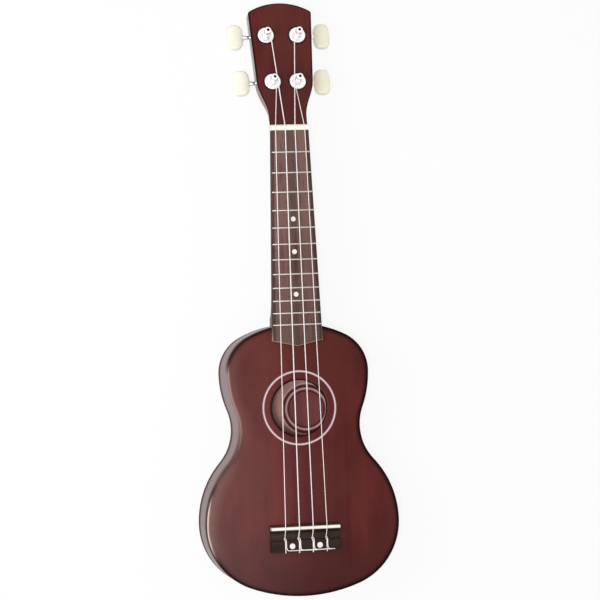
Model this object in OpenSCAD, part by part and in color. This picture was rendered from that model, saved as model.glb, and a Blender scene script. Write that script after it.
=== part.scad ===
// Soprano ukulele with a hollow wooden body, geared tuners and four nylon strings.
// It lies on its back: +Z out of the soundboard, +Y toward the head.
// The origin is on the back, under the middle of the body. All sizes are in millimetres.

/* [Body outline] */
// Length of the body on its centre line
body_l = 242.2; // [200:0.1:300]
// Width of the upper bout
upper_bout_w = 128; // [110:0.5:150]
// Width of the lower bout
lower_bout_w = 174; // [150:0.5:210]
// Radius of the end at the neck
shoulder_r = 96.6; // [85:0.1:130]
// Radius of the upper bout above its widest line
upper_corner_r = 36.4; // [28:0.1:45]
// Radius of the upper bout below its widest line
upper_flank_r = 89.4; // [70:0.1:120]
// Radius of the waist
waist_r = 45.4; // [35:0.1:60]
// Radius of the lower bout above its widest line
lower_flank_r = 81.8; // [65:0.1:100]
// Radius of the lower bout below its widest line
lower_corner_r = 59.5; // [45:0.1:75]
// Radius of the tail end
tail_r = 136.7; // [115:0.1:180]

/* [Body walls] */
// Height of the body over soundboard and back
body_h = 54; // [45:0.5:75]
// Thickness of the soundboard
top_t = 2.4; // [1.6:0.1:4]
// Thickness of the back
back_t = 2.4; // [1.6:0.1:4]
// Thickness of the sides
side_t = 2.2; // [1.5:0.1:4]

/* [Sound hole] */
// Diameter of the sound hole
hole_d = 49; // [40:0.5:56]
// Distance of its centre from the neck end of the body
hole_from_end = 75; // [65:0.5:90]
// Distance of the rosette's middle from the hole's edge
rosette_from_hole = 8; // [5:0.1:12]
// Width of the rosette's ring
rosette_w = 2.4; // [1:0.1:4]
// Depth of the rosette in the soundboard
rosette_t = 0.8; // [0.4:0.1:1.2]

/* [Inside the body] */
// Width of the linings
lining_w = 5; // [3:0.5:8]
// Height of the linings
lining_h = 8; // [5:0.5:12]
// Width of the neck block
neck_block_w = 52; // [40:1:70]
// Length of the neck block on the centre line
neck_block_l = 26; // [18:1:30]
// Width of the tail block
tail_block_w = 40; // [30:1:60]
// Length of the tail block on the centre line
tail_block_l = 10; // [6:0.5:16]
// Width of the braces
brace_w = 6; // [4:0.5:10]
// Height of the braces
brace_h = 9; // [6:0.5:12]
// Height of a brace at its ends
brace_end_h = 3.5; // [2:0.5:5]
// Length of a brace's taper at each end
brace_taper = 18; // [10:1:25]
// Distance of the soundboard's braces from the sound hole
brace_from_hole = 13; // [11:0.5:17]
// Distance of the upper back brace from the neck block
back_brace_upper = 10; // [5:0.5:20]
// Distance of the lower back brace from the tail block
back_brace_lower = 62; // [40:1:90]
// Length of the bridge plate
bridge_plate_l = 26; // [20:1:35]
// Width of the bridge plate
bridge_plate_w = 72; // [66:1:90]
// Thickness of the bridge plate
bridge_plate_t = 2.5; // [1.5:0.1:4]
// Diameter of the dowels of the neck joint
dowel_d = 8; // [6:0.5:10]
// Length of the dowels
dowel_l = 30; // [22:1:36]
// Distance between the two dowels
dowel_gap = 12; // [11:0.5:18]
// Depth of the dowels below the soundboard's face
dowel_drop = 14; // [11:0.5:18]

/* [Neck] */
// Scale length, nut to twice the twelfth fret
scale_l = 346; // [330:0.5:382]
// Distance of the twelfth fret inside the body's end
joint_setback = 1; // [0:0.1:4]
// Width at the nut
nut_w = 34; // [32:0.1:38]
// Width at the twelfth fret
neck_w12 = 44.4; // [42:0.1:50]
// Thickness of the neck at the nut, without the fretboard
neck_t = 13; // [10:0.1:16]
// Thickness of the neck where the heel starts
heel_neck_t = 15; // [13:0.1:18]
// Height of the heel's end over the back
heel_up = 5; // [1:0.5:14]
// Length of the heel's foot
heel_foot = 6; // [3:0.5:12]

/* [Fretboard] */
// Thickness of the fretboard
board_t = 5; // [3:0.1:7]
// Length of the fretboard's edges past the twelfth fret
board_past = 14; // [6:0.5:18]
// Length of the point at the fretboard's end
board_point = 5; // [2:0.5:8]
// Width of a fret's crown
fret_w = 2; // [1.4:0.1:2.6]
// Width of a fret's tang
tang_w = 0.6; // [0.4:0.05:0.9]
// Depth of a fret's tang
tang_h = 1.8; // [1:0.1:2.5]
// Distance of a fret's ends from the board's edges
fret_inset = 0.4; // [0.2:0.1:1]
// Diameter of the position dots
dot_d = 4.4; // [3:0.1:6]
// Thickness of the position dots
dot_t = 1; // [0.6:0.1:2]

/* [Nut] */
// Thickness of the nut along the neck
nut_t = 5; // [3:0.1:6]
// Height of the string slots over the frets
nut_action = 0.4; // [0.2:0.05:1]
// Depth of the string slots
slot_t = 0.8; // [0.4:0.1:1.5]
// Fall of the nut's back edge
nut_fall = 1.4; // [0.8:0.1:2]
// Cut on the nut's front edge
nut_edge = 0.6; // [0.2:0.1:1]
// Height of the strings over the twelfth fret
action = 2.8; // [2:0.1:4]
// Distance between the strings at the nut
nut_gap = 8.77; // [8:0.01:9.5]

/* [Headstock] */
// Angle of the headstock
head_angle = 13; // [10:0.5:16]
// Length of the headstock along its face
head_l = 116.5; // [110:0.5:130]
// Thickness of the headstock
head_t = 13; // [10:0.5:15]
// Width of the headstock's sides, drawn on to the nut
head_base_w = 46.8; // [42:0.1:50]
// Width of the headstock's sides, drawn on to the tip
head_tip_w = 58.8; // [52:0.1:62]
// Start of the flare, from the nut
flare_start = 8; // [4:0.5:12]
// End of the flare, from the nut
flare_end = 42; // [38:0.5:52]
// Radius of the tip's arc
tip_r = 54; // [40:0.5:80]
// Radius of the tip's corners
tip_corner_r = 3; // [1.5:0.1:6]
// Length over which the neck's back turns flat
back_blend = 28; // [22:0.5:30]

/* [Tuner places] */
// Distance of the upper posts from the centre line
upper_post_x = 14.35; // [12:0.05:16]
// Distance of the upper posts from the nut
upper_post_v = 85.3; // [80:0.1:92]
// Distance of the lower posts from the centre line
lower_post_x = 11.4; // [11:0.05:13]
// Distance of the lower posts from the nut
lower_post_v = 41.2; // [38:0.1:46]

/* [Tuner posts] */
// Diameter of the posts
post_d = 6; // [5.5:0.1:6.4]
// Depth of the posts' waists
waist_cut = 0.3; // [0.2:0.05:0.5]
// Length of the slope at each end of a waist
waist_slope = 0.6; // [0.3:0.1:0.8]
// Height of a post's head over its waist
post_head = 4.5; // [2.2:0.1:5]
// Cut on a post's upper edge
post_edge = 0.8; // [0.3:0.1:1.2]
// Diameter of the string holes
string_hole_d = 1.6; // [1:0.1:2]
// Diameter of the hole in a post's end, down to its string hole
end_hole_d = 2.6; // [1.6:0.1:3]
// Diameter of the ferrules' flanges
ferrule_d = 14.6; // [11:0.1:15]
// Thickness of the ferrules' flanges
ferrule_t = 1.6; // [1:0.1:2.4]
// Cut on a ferrule's edge
ferrule_edge = 0.6; // [0.3:0.1:0.9]
// Wall of the ferrules' barrels
barrel_wall = 1; // [0.6:0.1:1.5]
// Length of the ferrules' barrels
barrel_l = 8; // [5:0.5:9]

/* [Tuner gears] */
// Teeth of a gear wheel
gear_teeth = 12; // [10:1:16]
// Pitch diameter of a gear wheel
gear_pitch_d = 6.4; // [6.2:0.05:7]
// Height of a tooth over the pitch line
addendum = 0.45; // [0.35:0.01:0.5]
// Width of a gear wheel
gear_w = 2; // [1.6:0.1:2.2]
// Width of a tooth at its tip
tooth_tip_w = 0.34; // [0.25:0.01:0.4]
// Width of a tooth at its root
tooth_root_w = 0.62; // [0.5:0.01:0.7]
// Distance between a tooth's tip and the opposite root
mesh_gap = 0.15; // [0.1:0.01:0.2]
// Distance of the worm's axis behind the head
worm_depth = 4.8; // [4.6:0.1:6]
// Diameter of a worm shaft
shaft_d = 4.2; // [4:0.1:4.4]
// Diameter of a worm shaft's inner journal
journal_d = 2.5; // [2.2:0.1:3]
// Length of a worm's thread
worm_l = 8; // [7:0.1:8.4]
// Gap between a worm's thread and the lugs
worm_gap = 0.7; // [0.4:0.1:1]
// Side of a post's square end
square_w = 2.4; // [2:0.1:2.6]
// Diameter of a gear's screw
gear_screw_d = 1.3; // [1:0.1:1.5]

/* [Tuner plates] */
// Thickness of a base plate
plate_t = 1.2; // [0.8:0.1:1.5]
// Rim of a base plate round its lugs and screws
plate_rim = 0.9; // [0.5:0.1:1.5]
// Cut on a base plate's corners
plate_cut = 2; // [1:0.1:3]
// Thickness of a bearing lug
lug_t = 1.5; // [1:0.1:1.8]
// Wall of a bearing lug round its shaft
lug_wall = 1.1; // [0.8:0.1:1.4]
// Diameter of a plate screw's head
screw_head_d = 3.4; // [3:0.1:3.6]
// Height of a screw's head
screw_head_t = 0.9; // [0.6:0.1:1.4]
// Gap between the plate screws and the gears
screw_gap = 0.8; // [0.5:0.1:1.5]
// Diameter of a plate screw
screw_d = 1.6; // [1.2:0.1:2]
// Length of a plate screw in the wood
screw_l = 7; // [5:0.5:9]

/* [Tuner buttons] */
// Distance of a button from its post
button_from_post = 18.1; // [16:0.1:22]
// Length of a button along its shaft
button_l = 14.8; // [12:0.1:17]
// Width of a button across its shaft
button_w = 24; // [18:0.1:26]
// Thickness of a button at its middle
button_t = 7.4; // [6:0.1:8.5]
// Radius of a button's bulged faces
button_face_r = 22; // [18:0.5:40]
// Length of the collar on the shaft
collar_l = 1.1; // [0.6:0.1:2]
// Height of the collar over the shaft
collar_h = 0.6; // [0.3:0.1:1]
// Diameter of the shaft inside a button
button_pin_d = 3; // [2.4:0.1:3.4]
// Length of the shaft inside a button
button_pin_l = 9; // [6:0.1:11]

/* [Bridge] */
// Distance of the saddle past the scale length
saddle_setback = 7; // [2:0.1:9]
// Length of the bridge along the strings
bridge_l = 24; // [22:0.5:28]
// Width of the bridge
bridge_w = 61.5; // [56:0.5:80]
// Height of the bridge at the saddle
bridge_h = 8; // [7:0.1:9]
// Height of the bridge between saddle and tie block
trough_h = 3.4; // [2:0.1:4]
// Length of the tie block
tie_l = 10.5; // [10:0.5:13]
// Height of the tie block
tie_h = 8; // [7.5:0.1:9]
// Height of the tie holes over the trough
tie_hole_up = 0.4; // [0.2:0.1:1]
// Diameter of the tie holes
tie_hole_d = 1.8; // [1.4:0.1:2]
// Thickness of the saddle
saddle_t = 2.8; // [2:0.1:3.2]
// Depth of the saddle in the bridge
saddle_seat = 5; // [3:0.1:5.5]
// Distance of the saddle's middle from the bridge's front
saddle_front = 3; // [2.6:0.1:4]
// Wall of the bridge behind the saddle
saddle_wall = 1.2; // [0.8:0.1:2]
// Length of the slope from there into the trough
trough_slope = 1.6; // [0.5:0.1:2.5]
// Cut on the bridge's edges
bridge_edge = 0.8; // [0.3:0.1:1.5]
// Distance between the strings at the saddle
saddle_gap = 12.4; // [11:0.1:14]
// Diameter of the dots on the tie block
bridge_dot_d = 5; // [3:0.1:6]

/* [Strings] */
// Diameter of the g string
g_string_d = 0.65; // [0.5:0.01:0.75]
// Diameter of the c string
c_string_d = 0.85; // [0.6:0.01:0.95]
// Diameter of the e string
e_string_d = 0.75; // [0.6:0.01:0.9]
// Diameter of the a string
a_string_d = 0.6; // [0.5:0.01:0.75]
// Gap between the turns on a post
winding_gap = 0.45; // [0.43:0.01:0.8]
// Full turns on a post, before the last part turn
winding_turns = 2; // [1:1:3]
// Gap between a winding and the ends of its waist
wind_seat = 0.35; // [0.3:0.05:1]
// Height of the upper windings over the lower ones
pass_gap = 0.1; // [0:0.05:1]
// Length of a string's cut end past its winding
string_tail = 2.2; // [1:0.1:4]

/* [Clearances] */
// Gap round turned pieces that run in each other
run_gap = 0.06; // [0.02:0.01:0.1]
// Gap round pieces that are let in or glued in
inlay_gap = 0.05; // [0.02:0.01:0.1]
// Gap between a string and what it lies on
seat_gap = 0.05; // [0.03:0.01:0.1]
// Gap between a winding and its post
wind_gap = 0.25; // [0.2:0.01:0.3]
// Gap between pieces that move past each other
move_gap = 0.15; // [0.1:0.01:0.2]
// Gap at the ends of the braces
brace_gap = 0.3; // [0.1:0.1:0.8]

/* [Hidden] */
STRINGS = ["g", "c", "e", "a"];
FIXED = ["soundboard", "back", "side_bass", "side_treble", "neck_block", "tail_block",
    "top_lining_bass", "top_lining_treble", "back_lining_bass", "back_lining_treble",
    "upper_top_brace", "lower_top_brace", "upper_back_brace", "lower_back_brace", "bridge_plate",
    "neck_dowels", "rosette", "neck", "fretboard", "frets", "position_dots", "nut",
    "bridge", "saddle", "bridge_dots", "tuner_screws"];
PER_STRING = ["string", "ferrule", "tuner_plate", "post", "gear", "gear_screw", "worm_shaft", "button"];

$fn = 64;
arc_angle = 5;
past = 1;

wood = [0.36, 0.16, 0.15];
pale_wood = [0.74, 0.58, 0.40];
dark_wood = [0.20, 0.15, 0.14];
rosewood = [0.42, 0.33, 0.30];
metal = [0.82, 0.82, 0.84];
brass = [0.78, 0.64, 0.34];
ivory = [0.96, 0.94, 0.85];
nylon = [0.95, 0.88, 0.88];

// Tangent arcs of the body's right half, from the neck end round to the tail.
end_y = body_l / 2;
upper_half = upper_bout_w / 2;
lower_half = lower_bout_w / 2;
shoulder_c = [0, end_y - shoulder_r];
upper_y = shoulder_c.y + leg(shoulder_r - upper_corner_r, upper_half - upper_corner_r);
upper_corner_c = [upper_half - upper_corner_r, upper_y];
upper_flank_c = [upper_half - upper_flank_r, upper_y];
tail_c = [0, tail_r - end_y];
lower_y = tail_c.y - leg(tail_r - lower_corner_r, lower_half - lower_corner_r);
lower_corner_c = [lower_half - lower_corner_r, lower_y];
lower_flank_c = [lower_half - lower_flank_r, lower_y];
waist_c = meet(upper_flank_c, upper_flank_r + waist_r, lower_flank_c, lower_flank_r + waist_r);
shoulder_a = heading(upper_corner_c - shoulder_c);
upper_a = heading(waist_c - upper_flank_c);
lower_a = heading(waist_c - lower_flank_c);
tail_a = heading(lower_corner_c - tail_c);

side_h = body_h - top_t - back_t;
hole_y = end_y - hole_from_end;
nut_y = end_y + scale_l / 2 - joint_setback;
fret_12 = nut_y - scale_l / 2;
saddle_y = nut_y - scale_l - saddle_setback;
rosette_d = hole_d + 2 * rosette_from_hole;
fret_h = fret_w / 2;
slot_h = board_t + fret_h + nut_action;
nut_h = slot_h + slot_t;
saddle_h = slot_h + (action - nut_action) * (nut_y - saddle_y) / (nut_y - fret_12);
tie_hole_h = trough_h + tie_hole_up + tie_hole_d / 2;
bridge_front = saddle_y + saddle_front;
bridge_back = bridge_front - bridge_l;
tie_front = bridge_back + tie_l;
bridge_mid = (bridge_front + bridge_back) / 2;
heel_h = body_h - heel_up;
heel_r = heel_h - heel_neck_t;
heel_tuck = 10;
head_y = nut_y + nut_t;
fret_count = 12;
dot_frets = [5, 7, 10];

// Worm and wheel: the worm is cut on the shaft, so its tip is the shaft's own surface.
pitch = PI * gear_pitch_d / gear_teeth;
worm_y = (gear_pitch_d + shaft_d) / 2 - addendum;
gear_tip_r = gear_pitch_d / 2 + addendum;
gear_root_r = worm_y - shaft_d / 2 - mesh_gap;
worm_root_r = worm_y - gear_tip_r - mesh_gap;
lug_x = worm_l / 2 + worm_gap;
lug_end = lug_x + lug_t;
lug_w = shaft_d + 2 * lug_wall;
lug_h = worm_depth + lug_w / 2;
gear_bottom = worm_depth + gear_w / 2;
gear_top = worm_depth - gear_w / 2;
hub_r = gear_root_r - 2 * mesh_gap;
lower_screw_y = -gear_tip_r - screw_head_d / 2 - screw_gap;
upper_screw_y = worm_y + shaft_d / 2 + screw_head_d / 2 + screw_gap;
plate_low = lower_screw_y - screw_head_d / 2 - plate_rim;
plate_high = upper_screw_y + screw_head_d / 2 + plate_rim;
plate_w = 2 * (lug_end + plate_rim);
post_r = post_d / 2;
post_waist_r = post_r - waist_cut;
journal_r = mix(square_w / sqrt(2), post_r, 0.4);
barrel_r = post_r + run_gap + barrel_wall;
thread_angle = 22.5;
thread_sink = 0.1;

function leg(long, side) = sqrt(long * long - side * side);
function heading(v) = atan2(v.y, v.x);
function smooth(t) = let(c = min(max(t, 0), 1)) c * c * (3 - 2 * c);
function mix(a, b, t) = a + (b - a) * t;
function unit(v) = v / norm(v);
function flat(lists) = [for (list = lists) each list];
function reversed(list) = [for (i = [len(list) - 1:-1:0]) list[i]];

// Right-hand crossing of two circles.
function meet(a, ra, b, rb) =
    let(d = norm(b - a), e = (b - a) / d, x = (d * d + ra * ra - rb * rb) / (2 * d))
    a + x * e + leg(ra, x) * [-e.y, e.x];

// Points of an arc after its first one.
function arc(c, r, from, to) =
    let(n = ceil(abs(to - from) / arc_angle))
    [for (i = [1:n]) let(a = mix(from, to, i / n)) c + r * [cos(a), sin(a)]];

// Right half of the body's outline, moved inward by k.
function half_outline(k) = concat(
    [[0, end_y - k]],
    arc(shoulder_c, shoulder_r - k, 90, shoulder_a),
    arc(upper_corner_c, upper_corner_r - k, shoulder_a, 0),
    arc(upper_flank_c, upper_flank_r - k, 0, upper_a),
    arc(waist_c, waist_r + k, upper_a + 180, lower_a + 180),
    arc(lower_flank_c, lower_flank_r - k, lower_a, 0),
    arc(lower_corner_c, lower_corner_r - k, 0, tail_a),
    arc(tail_c, tail_r - k, tail_a, -90));
function outline(k) =
    let(h = half_outline(k))
    concat(h, [for (i = [len(h) - 2:-1:1]) [-h[i].x, h[i].y]]);
function half_width(y, k) = lookup(y, [for (p = half_outline(k)) [p.y, p.x]]);
function side_strip(s, k, w) =
    [for (p = concat(half_outline(k), reversed(half_outline(k + w)))) [s * p.x, p.y]];

function board_half(y) = mix(neck_w12, nut_w, (y - fret_12) / (nut_y - fret_12)) / 2;
function fret_y(n) = nut_y - scale_l * (1 - pow(2, -n / 12));

// The head's frame starts on its face, at the back of the nut.
function from_head(p) = [p.x,
    head_y + p.y * cos(head_angle) + p.z * sin(head_angle),
    body_h - p.y * sin(head_angle) + p.z * cos(head_angle)];
function to_head(p) =
    let(y = p.y - head_y, z = p.z - body_h)
    [p.x, y * cos(head_angle) - z * sin(head_angle), y * sin(head_angle) + z * cos(head_angle)];
function head_line(v) = mix(head_base_w, head_tip_w, v / head_l) / 2;
function head_half(v) =
    let(t = min(max((v - flare_start) / (flare_end - flare_start), 0), 1))
    mix(nut_w / 2, head_line(v), (1 - cos(180 * t)) / 2);

// Corner of the tip: a circle inside the tip's arc that touches the side's line.
side_slope = (head_tip_w - head_base_w) / 2 / head_l;
side_len = sqrt(1 + side_slope * side_slope);
tip_c = head_l - tip_r;
corner_x0 = head_base_w / 2 - tip_corner_r * side_len;
corner_b = corner_x0 * side_slope - tip_c;
corner_k = pow(corner_x0, 2) + pow(tip_c, 2) - pow(tip_r - tip_corner_r, 2);
corner_v = (-corner_b + sqrt(pow(corner_b, 2) - pow(side_len, 2) * corner_k)) / pow(side_len, 2);
corner_c = [corner_x0 + side_slope * corner_v, corner_v];
corner_a = heading(corner_c - [0, tip_c]);
side_a = -atan(side_slope);
corner_start = corner_c + tip_corner_r * [cos(side_a), sin(side_a)];
last_angle = 87.5;
flare_step = 4;

// Half width and place of each of the head's sections.
head_edge = concat(
    [for (v = [flare_step:flare_step:flare_end]) [head_half(v), v]],
    [for (t = [0.33, 0.67]) let(v = mix(flare_end, corner_start.y, t)) [head_half(v), v]],
    [corner_start],
    [for (t = [0.33, 0.67, 1]) let(a = mix(side_a, corner_a, t)) corner_c + tip_corner_r * [cos(a), sin(a)]],
    [for (t = [0.25:0.25:1]) let(a = mix(corner_a, last_angle, t)) [0, tip_c] + tip_r * [cos(a), sin(a)]]);

// Section of neck or head: flat top, rounded lower corners that meet in a round back on the neck.
function section(w, t, share) =
    let(n = 8, f = share[0], g = share[1], quarter = [for (i = [0:n]) let(a = 90 * i / n)
        [w * (f + (1 - f) * cos(a)), -t * (1 - g + g * sin(a))]])
    concat([[w, 0]], quarter, [for (p = reversed(quarter)) [-p.x, p.y]], [[-w, 0]]);
function section_ring(y, z, tilt, pts) = [for (p = pts) [p.x, y + p.y * sin(tilt), z + p.y * cos(tilt)]];
// Shares of a section's width that are flat, and of its depth that are rounded.
neck_share = [0.04, 0.96];
head_share = [0.9, 0.16];
function neck_ring(y, t) = section_ring(y, body_h, 0, section(board_half(y), t, neck_share));
function head_ring(w, v) =
    let(k = smooth(v / back_blend), p = from_head([0, v, 0]))
    section_ring(p.y, p.z, head_angle,
        section(w, mix(neck_t, head_t, k), mix(neck_share, head_share, k)));

foot_y = end_y + heel_foot;
heel_c = [foot_y + heel_r, heel_neck_t + heel_r];
neck_rings = concat(
    [neck_ring(end_y - heel_tuck, heel_h)],
    [for (a = [0:10:90]) neck_ring(heel_c.x - heel_r * cos(a), heel_c.y - heel_r * sin(a))],
    [for (t = [0.33, 0.67, 1]) neck_ring(mix(heel_c.x, nut_y, t), mix(heel_neck_t, neck_t, t))],
    [section_ring(head_y, body_h, head_angle / 2, section(nut_w / 2, neck_t, neck_share))],
    [for (e = head_edge) head_ring(e.x, e.y)]);

// Closed skin over rings of equal count.
module skin(rings) {
    n = len(rings[0]);
    last = len(rings) - 1;
    sides = [for (i = [0:last - 1], k = [0:n - 1])
        let(a = i * n + k, b = i * n + (k + 1) % n)
        each [[a, a + n, b + n], [a, b + n, b]]];
    caps = [[for (k = [0:n - 1]) k], [for (k = [n - 1:-1:0]) last * n + k]];
    polyhedron(flat(rings), concat(sides, caps));
}

// Round tube of six sides along a route.
function turned(n, t) = unit(n - (n * t) * t);

module tube(path, r) {
    last = len(path) - 1;
    ahead = [for (i = [0:last]) unit(path[min(i + 1, last)] - path[min(i, last - 1)])];
    along = [for (i = [0:last]) unit(ahead[i] + ahead[max(i - 1, 0)])];
    side = [for (i = 0, n = turned([1, 0.2, 0.3], along[0]); i <= last;
        n = turned(n, along[min(i + 1, last)]), i = i + 1) n];
    skin([for (i = [0:last])
        let(n = side[i], b = cross(along[i], n))
        [for (a = [0:60:300]) path[i] + r * (cos(a) * n + sin(a) * b)]]);
}

// Tuners: outer strings go to the lower posts, inner strings to the upper ones.
function on_upper(i) = i == 1 || i == 2;
function hand(i) = i < 2 ? -1 : 1;
function post_x(i) = on_upper(i) ? upper_post_x : lower_post_x;
function post_v(i) = on_upper(i) ? upper_post_v : lower_post_v;

module in_head() translate([0, head_y, body_h]) rotate([-head_angle, 0, 0]) children();
// Behind the head at a post: X outward to the button, Y to the tip, Z out of the face.
module at_tuner(i) in_head() translate([hand(i) * post_x(i), post_v(i), -head_t])
    mirror([hand(i) < 0 ? 1 : 0, 0, 0]) children();
module plate_screws() for (y = [lower_screw_y, upper_screw_y]) translate([0, y, 0]) children();

// Strings, from the tie block over saddle and nut to the winding.
string_d = [g_string_d, c_string_d, e_string_d, a_string_d];
function spread(i, gap) = (i - 1.5) * gap;
function nut_bend(i) = [spread(i, nut_gap), nut_y + nut_t / 2, body_h + slot_h + seat_gap + string_d[i] / 2];
function wind_r(i) = post_waist_r + wind_gap + string_d[i] / 2;
function wind_h(i) = string_d[i] / 2 + (on_upper(i) ? lower_top + pass_gap : ferrule_t + wind_seat);
function wind_rise(i) = (string_d[i] + winding_gap) * (wind_start(i) - wind_end()) / 360;
function wind_start(i) =
    let(n = to_head(nut_bend(i)), d = [hand(i) * n.x - post_x(i), n.y - post_v(i)])
    heading(d) - acos(wind_r(i) / norm(d)) + 360;
function wind_end() = 90 - 360 * winding_turns;
lower_top = max([for (i = [0, 3]) ferrule_t + wind_seat + string_d[i] + wind_rise(i)]);
waist_top = max([for (i = [1, 2]) wind_h(i) + wind_rise(i) + string_d[i] / 2]) + wind_seat;
post_h = waist_top + waist_slope + post_head;
string_hole_z = head_t + post_h - (post_head + post_edge) / 2;
function wind_point(i, a) = [hand(i) * (post_x(i) + wind_r(i) * cos(a)), post_v(i) + wind_r(i) * sin(a),
    wind_h(i) + (string_d[i] + winding_gap) * (wind_start(i) - a) / 360];
function winding(i) =
    let(from = wind_start(i), to = wind_end(), n = ceil((from - to) / 15))
    [for (k = [0:n]) from_head(wind_point(i, mix(from, to, k / n)))];
function string_cut(i) = from_head(wind_point(i, wind_end()) + [hand(i) * string_tail, 0, 0]);

function over_saddle(i) =
    let(r = string_d[i] / 2, x = spread(i, saddle_gap), b = nut_bend(i),
        c = [saddle_y, body_h + saddle_h - saddle_t / 2], reach = saddle_t / 2 + r + seat_gap,
        hole = [tie_front + 2 * r, body_h + tie_hole_h] - c, nut = [b.y, b.z] - c,
        from = heading(hole) - acos(reach / norm(hole)) + 360, to = heading(nut) + acos(reach / norm(nut)))
    [for (k = [0:4]) let(a = mix(from, to, k / 4)) [x, c.x + reach * cos(a), c.y + reach * sin(a)]];
loop_slack = 0.3;
function tie_loop(i) =
    let(r = string_d[i] / 2, x = spread(i, saddle_gap), bend = r + loop_slack, low = body_h + tie_hole_h,
        high = body_h + tie_h + r + seat_gap, mid = bridge_back - r - loop_slack + seat_gap + bend)
    concat([[x, tie_front + r, high]],
        [for (a = [90:30:180]) [x, mid + bend * cos(a), high - bend + bend * sin(a)]],
        [for (a = [180:30:270]) [x, mid + bend * cos(a), low + bend + bend * sin(a)]],
        [[x, tie_front + 2 * r, low]]);
function string_path(i) = concat(tie_loop(i), over_saddle(i), [nut_bend(i)], winding(i), [string_cut(i)]);

// Least gap between turns, on the winding's points.
function own_gap(i) =
    let(p = winding(i), far = 12)
    min([for (a = [0:len(p) - 1]) for (b = [a + far:1:len(p) - 1]) norm(p[a] - p[b])]) - string_d[i];
for (i = [0:3]) echo(str("least gap of string ", STRINGS[i], " to itself: ", own_gap(i), " mm"));

module body_prism(k, z, h) translate([0, 0, z]) linear_extrude(h) polygon(outline(k));
module at_hole(z) translate([0, hole_y, z]) children();
module ring(d_in, d_out, h) difference() {
    cylinder(d = d_out, h = h);
    translate([0, 0, -past]) cylinder(d = d_in, h = h + 2 * past);
}

module soundboard() color(wood) difference() {
    body_prism(0, body_h - top_t, top_t);
    at_hole(body_h - top_t - past) cylinder(d = hole_d, h = top_t + 2 * past);
    at_hole(body_h - rosette_t) ring(rosette_d - rosette_w, rosette_d + rosette_w, rosette_t + past);
}

module rosette() color(nylon) at_hole(body_h - rosette_t)
    ring(rosette_d - rosette_w + 2 * inlay_gap, rosette_d + rosette_w - 2 * inlay_gap, rosette_t);

module back() color(wood) body_prism(0, 0, back_t);

module side(s) color(wood) difference() {
    translate([0, 0, back_t]) linear_extrude(side_h) polygon(side_strip(s, 0, side_t));
    dowel_holes();
}

module block(w, from, to) color(pale_wood) difference() {
    intersection() {
        body_prism(side_t, back_t, side_h);
        translate([-w / 2, from, 0]) cube([w, to - from, body_h]);
    }
    dowel_holes();
}

neck_block_y = end_y - side_t - neck_block_l;
tail_block_y = tail_block_l + side_t - end_y;
module neck_block() block(neck_block_w, neck_block_y, end_y);
module tail_block() block(tail_block_w, -end_y, tail_block_y);

module lining(s, z) color(pale_wood) translate([0, 0, z]) linear_extrude(lining_h) difference() {
    polygon(side_strip(s, side_t, lining_w));
    translate([-neck_block_w / 2, neck_block_y]) square([neck_block_w, body_l]);
    translate([-tail_block_w / 2, tail_block_y - body_l]) square([tail_block_w, body_l]);
}
module top_lining(s) lining(s, body_h - top_t - lining_h);
module back_lining(s) lining(s, back_t);

// Brace with tapered ends, from z in the direction of way.
module brace(y, z, way) color(pale_wood) {
    k = side_t + lining_w;
    l = min(half_width(y - brace_w / 2, k), half_width(y + brace_w / 2, k)) - brace_gap;
    translate([0, y, z]) rotate([90, 0, 0]) linear_extrude(brace_w, center = true)
        polygon([[-l, 0], [l, 0], [l, way * brace_end_h], [l - brace_taper, way * brace_h],
            [brace_taper - l, way * brace_h], [-l, way * brace_end_h]]);
}
module upper_top_brace() brace(hole_y + hole_d / 2 + brace_from_hole, body_h - top_t, -1);
module lower_top_brace() brace(hole_y - hole_d / 2 - brace_from_hole, body_h - top_t, -1);
module upper_back_brace() brace(neck_block_y - back_brace_upper, back_t, 1);
module lower_back_brace() brace(tail_block_y + back_brace_lower, back_t, 1);

module bridge_plate() color(pale_wood)
    translate([-bridge_plate_w / 2, bridge_mid - bridge_plate_l / 2, body_h - top_t - bridge_plate_t])
    cube([bridge_plate_w, bridge_plate_l, bridge_plate_t]);

// Half of each dowel is in the neck block, the other half in the heel.
module dowels(d, l) for (s = [-1, 1])
    translate([s * dowel_gap / 2, end_y - side_t / 2 + l / 2, body_h - dowel_drop])
    rotate([90, 0, 0]) cylinder(d = d, h = l);
module neck_dowels() color(pale_wood) dowels(dowel_d, dowel_l);
module dowel_holes() dowels(dowel_d + 2 * inlay_gap, dowel_l + 2 * past);

module neck() color(wood) difference() {
    skin(neck_rings);
    body_prism(0, -past, body_h + 2 * past);
    dowel_holes();
    for (i = [0:3]) at_tuner(i) {
        translate([0, 0, -past]) cylinder(r = barrel_r + inlay_gap, h = head_t + 2 * past);
        plate_screws() translate([0, 0, -past]) cylinder(d = screw_d + 2 * inlay_gap, h = screw_l + 2 * past);
    }
}

board_end = fret_12 - board_past;
module fretboard() color(rosewood) difference() {
    translate([0, 0, body_h]) linear_extrude(board_t) polygon([
        [board_half(nut_y), nut_y], [-board_half(nut_y), nut_y], [-board_half(board_end), board_end],
        [0, board_end - board_point], [board_half(board_end), board_end]]);
    for (n = [1:fret_count]) at_fret(n, tang_w + 2 * inlay_gap, tang_h + inlay_gap, 2 * neck_w12);
    dots(dot_d + 2 * inlay_gap, dot_t, past);
}

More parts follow.
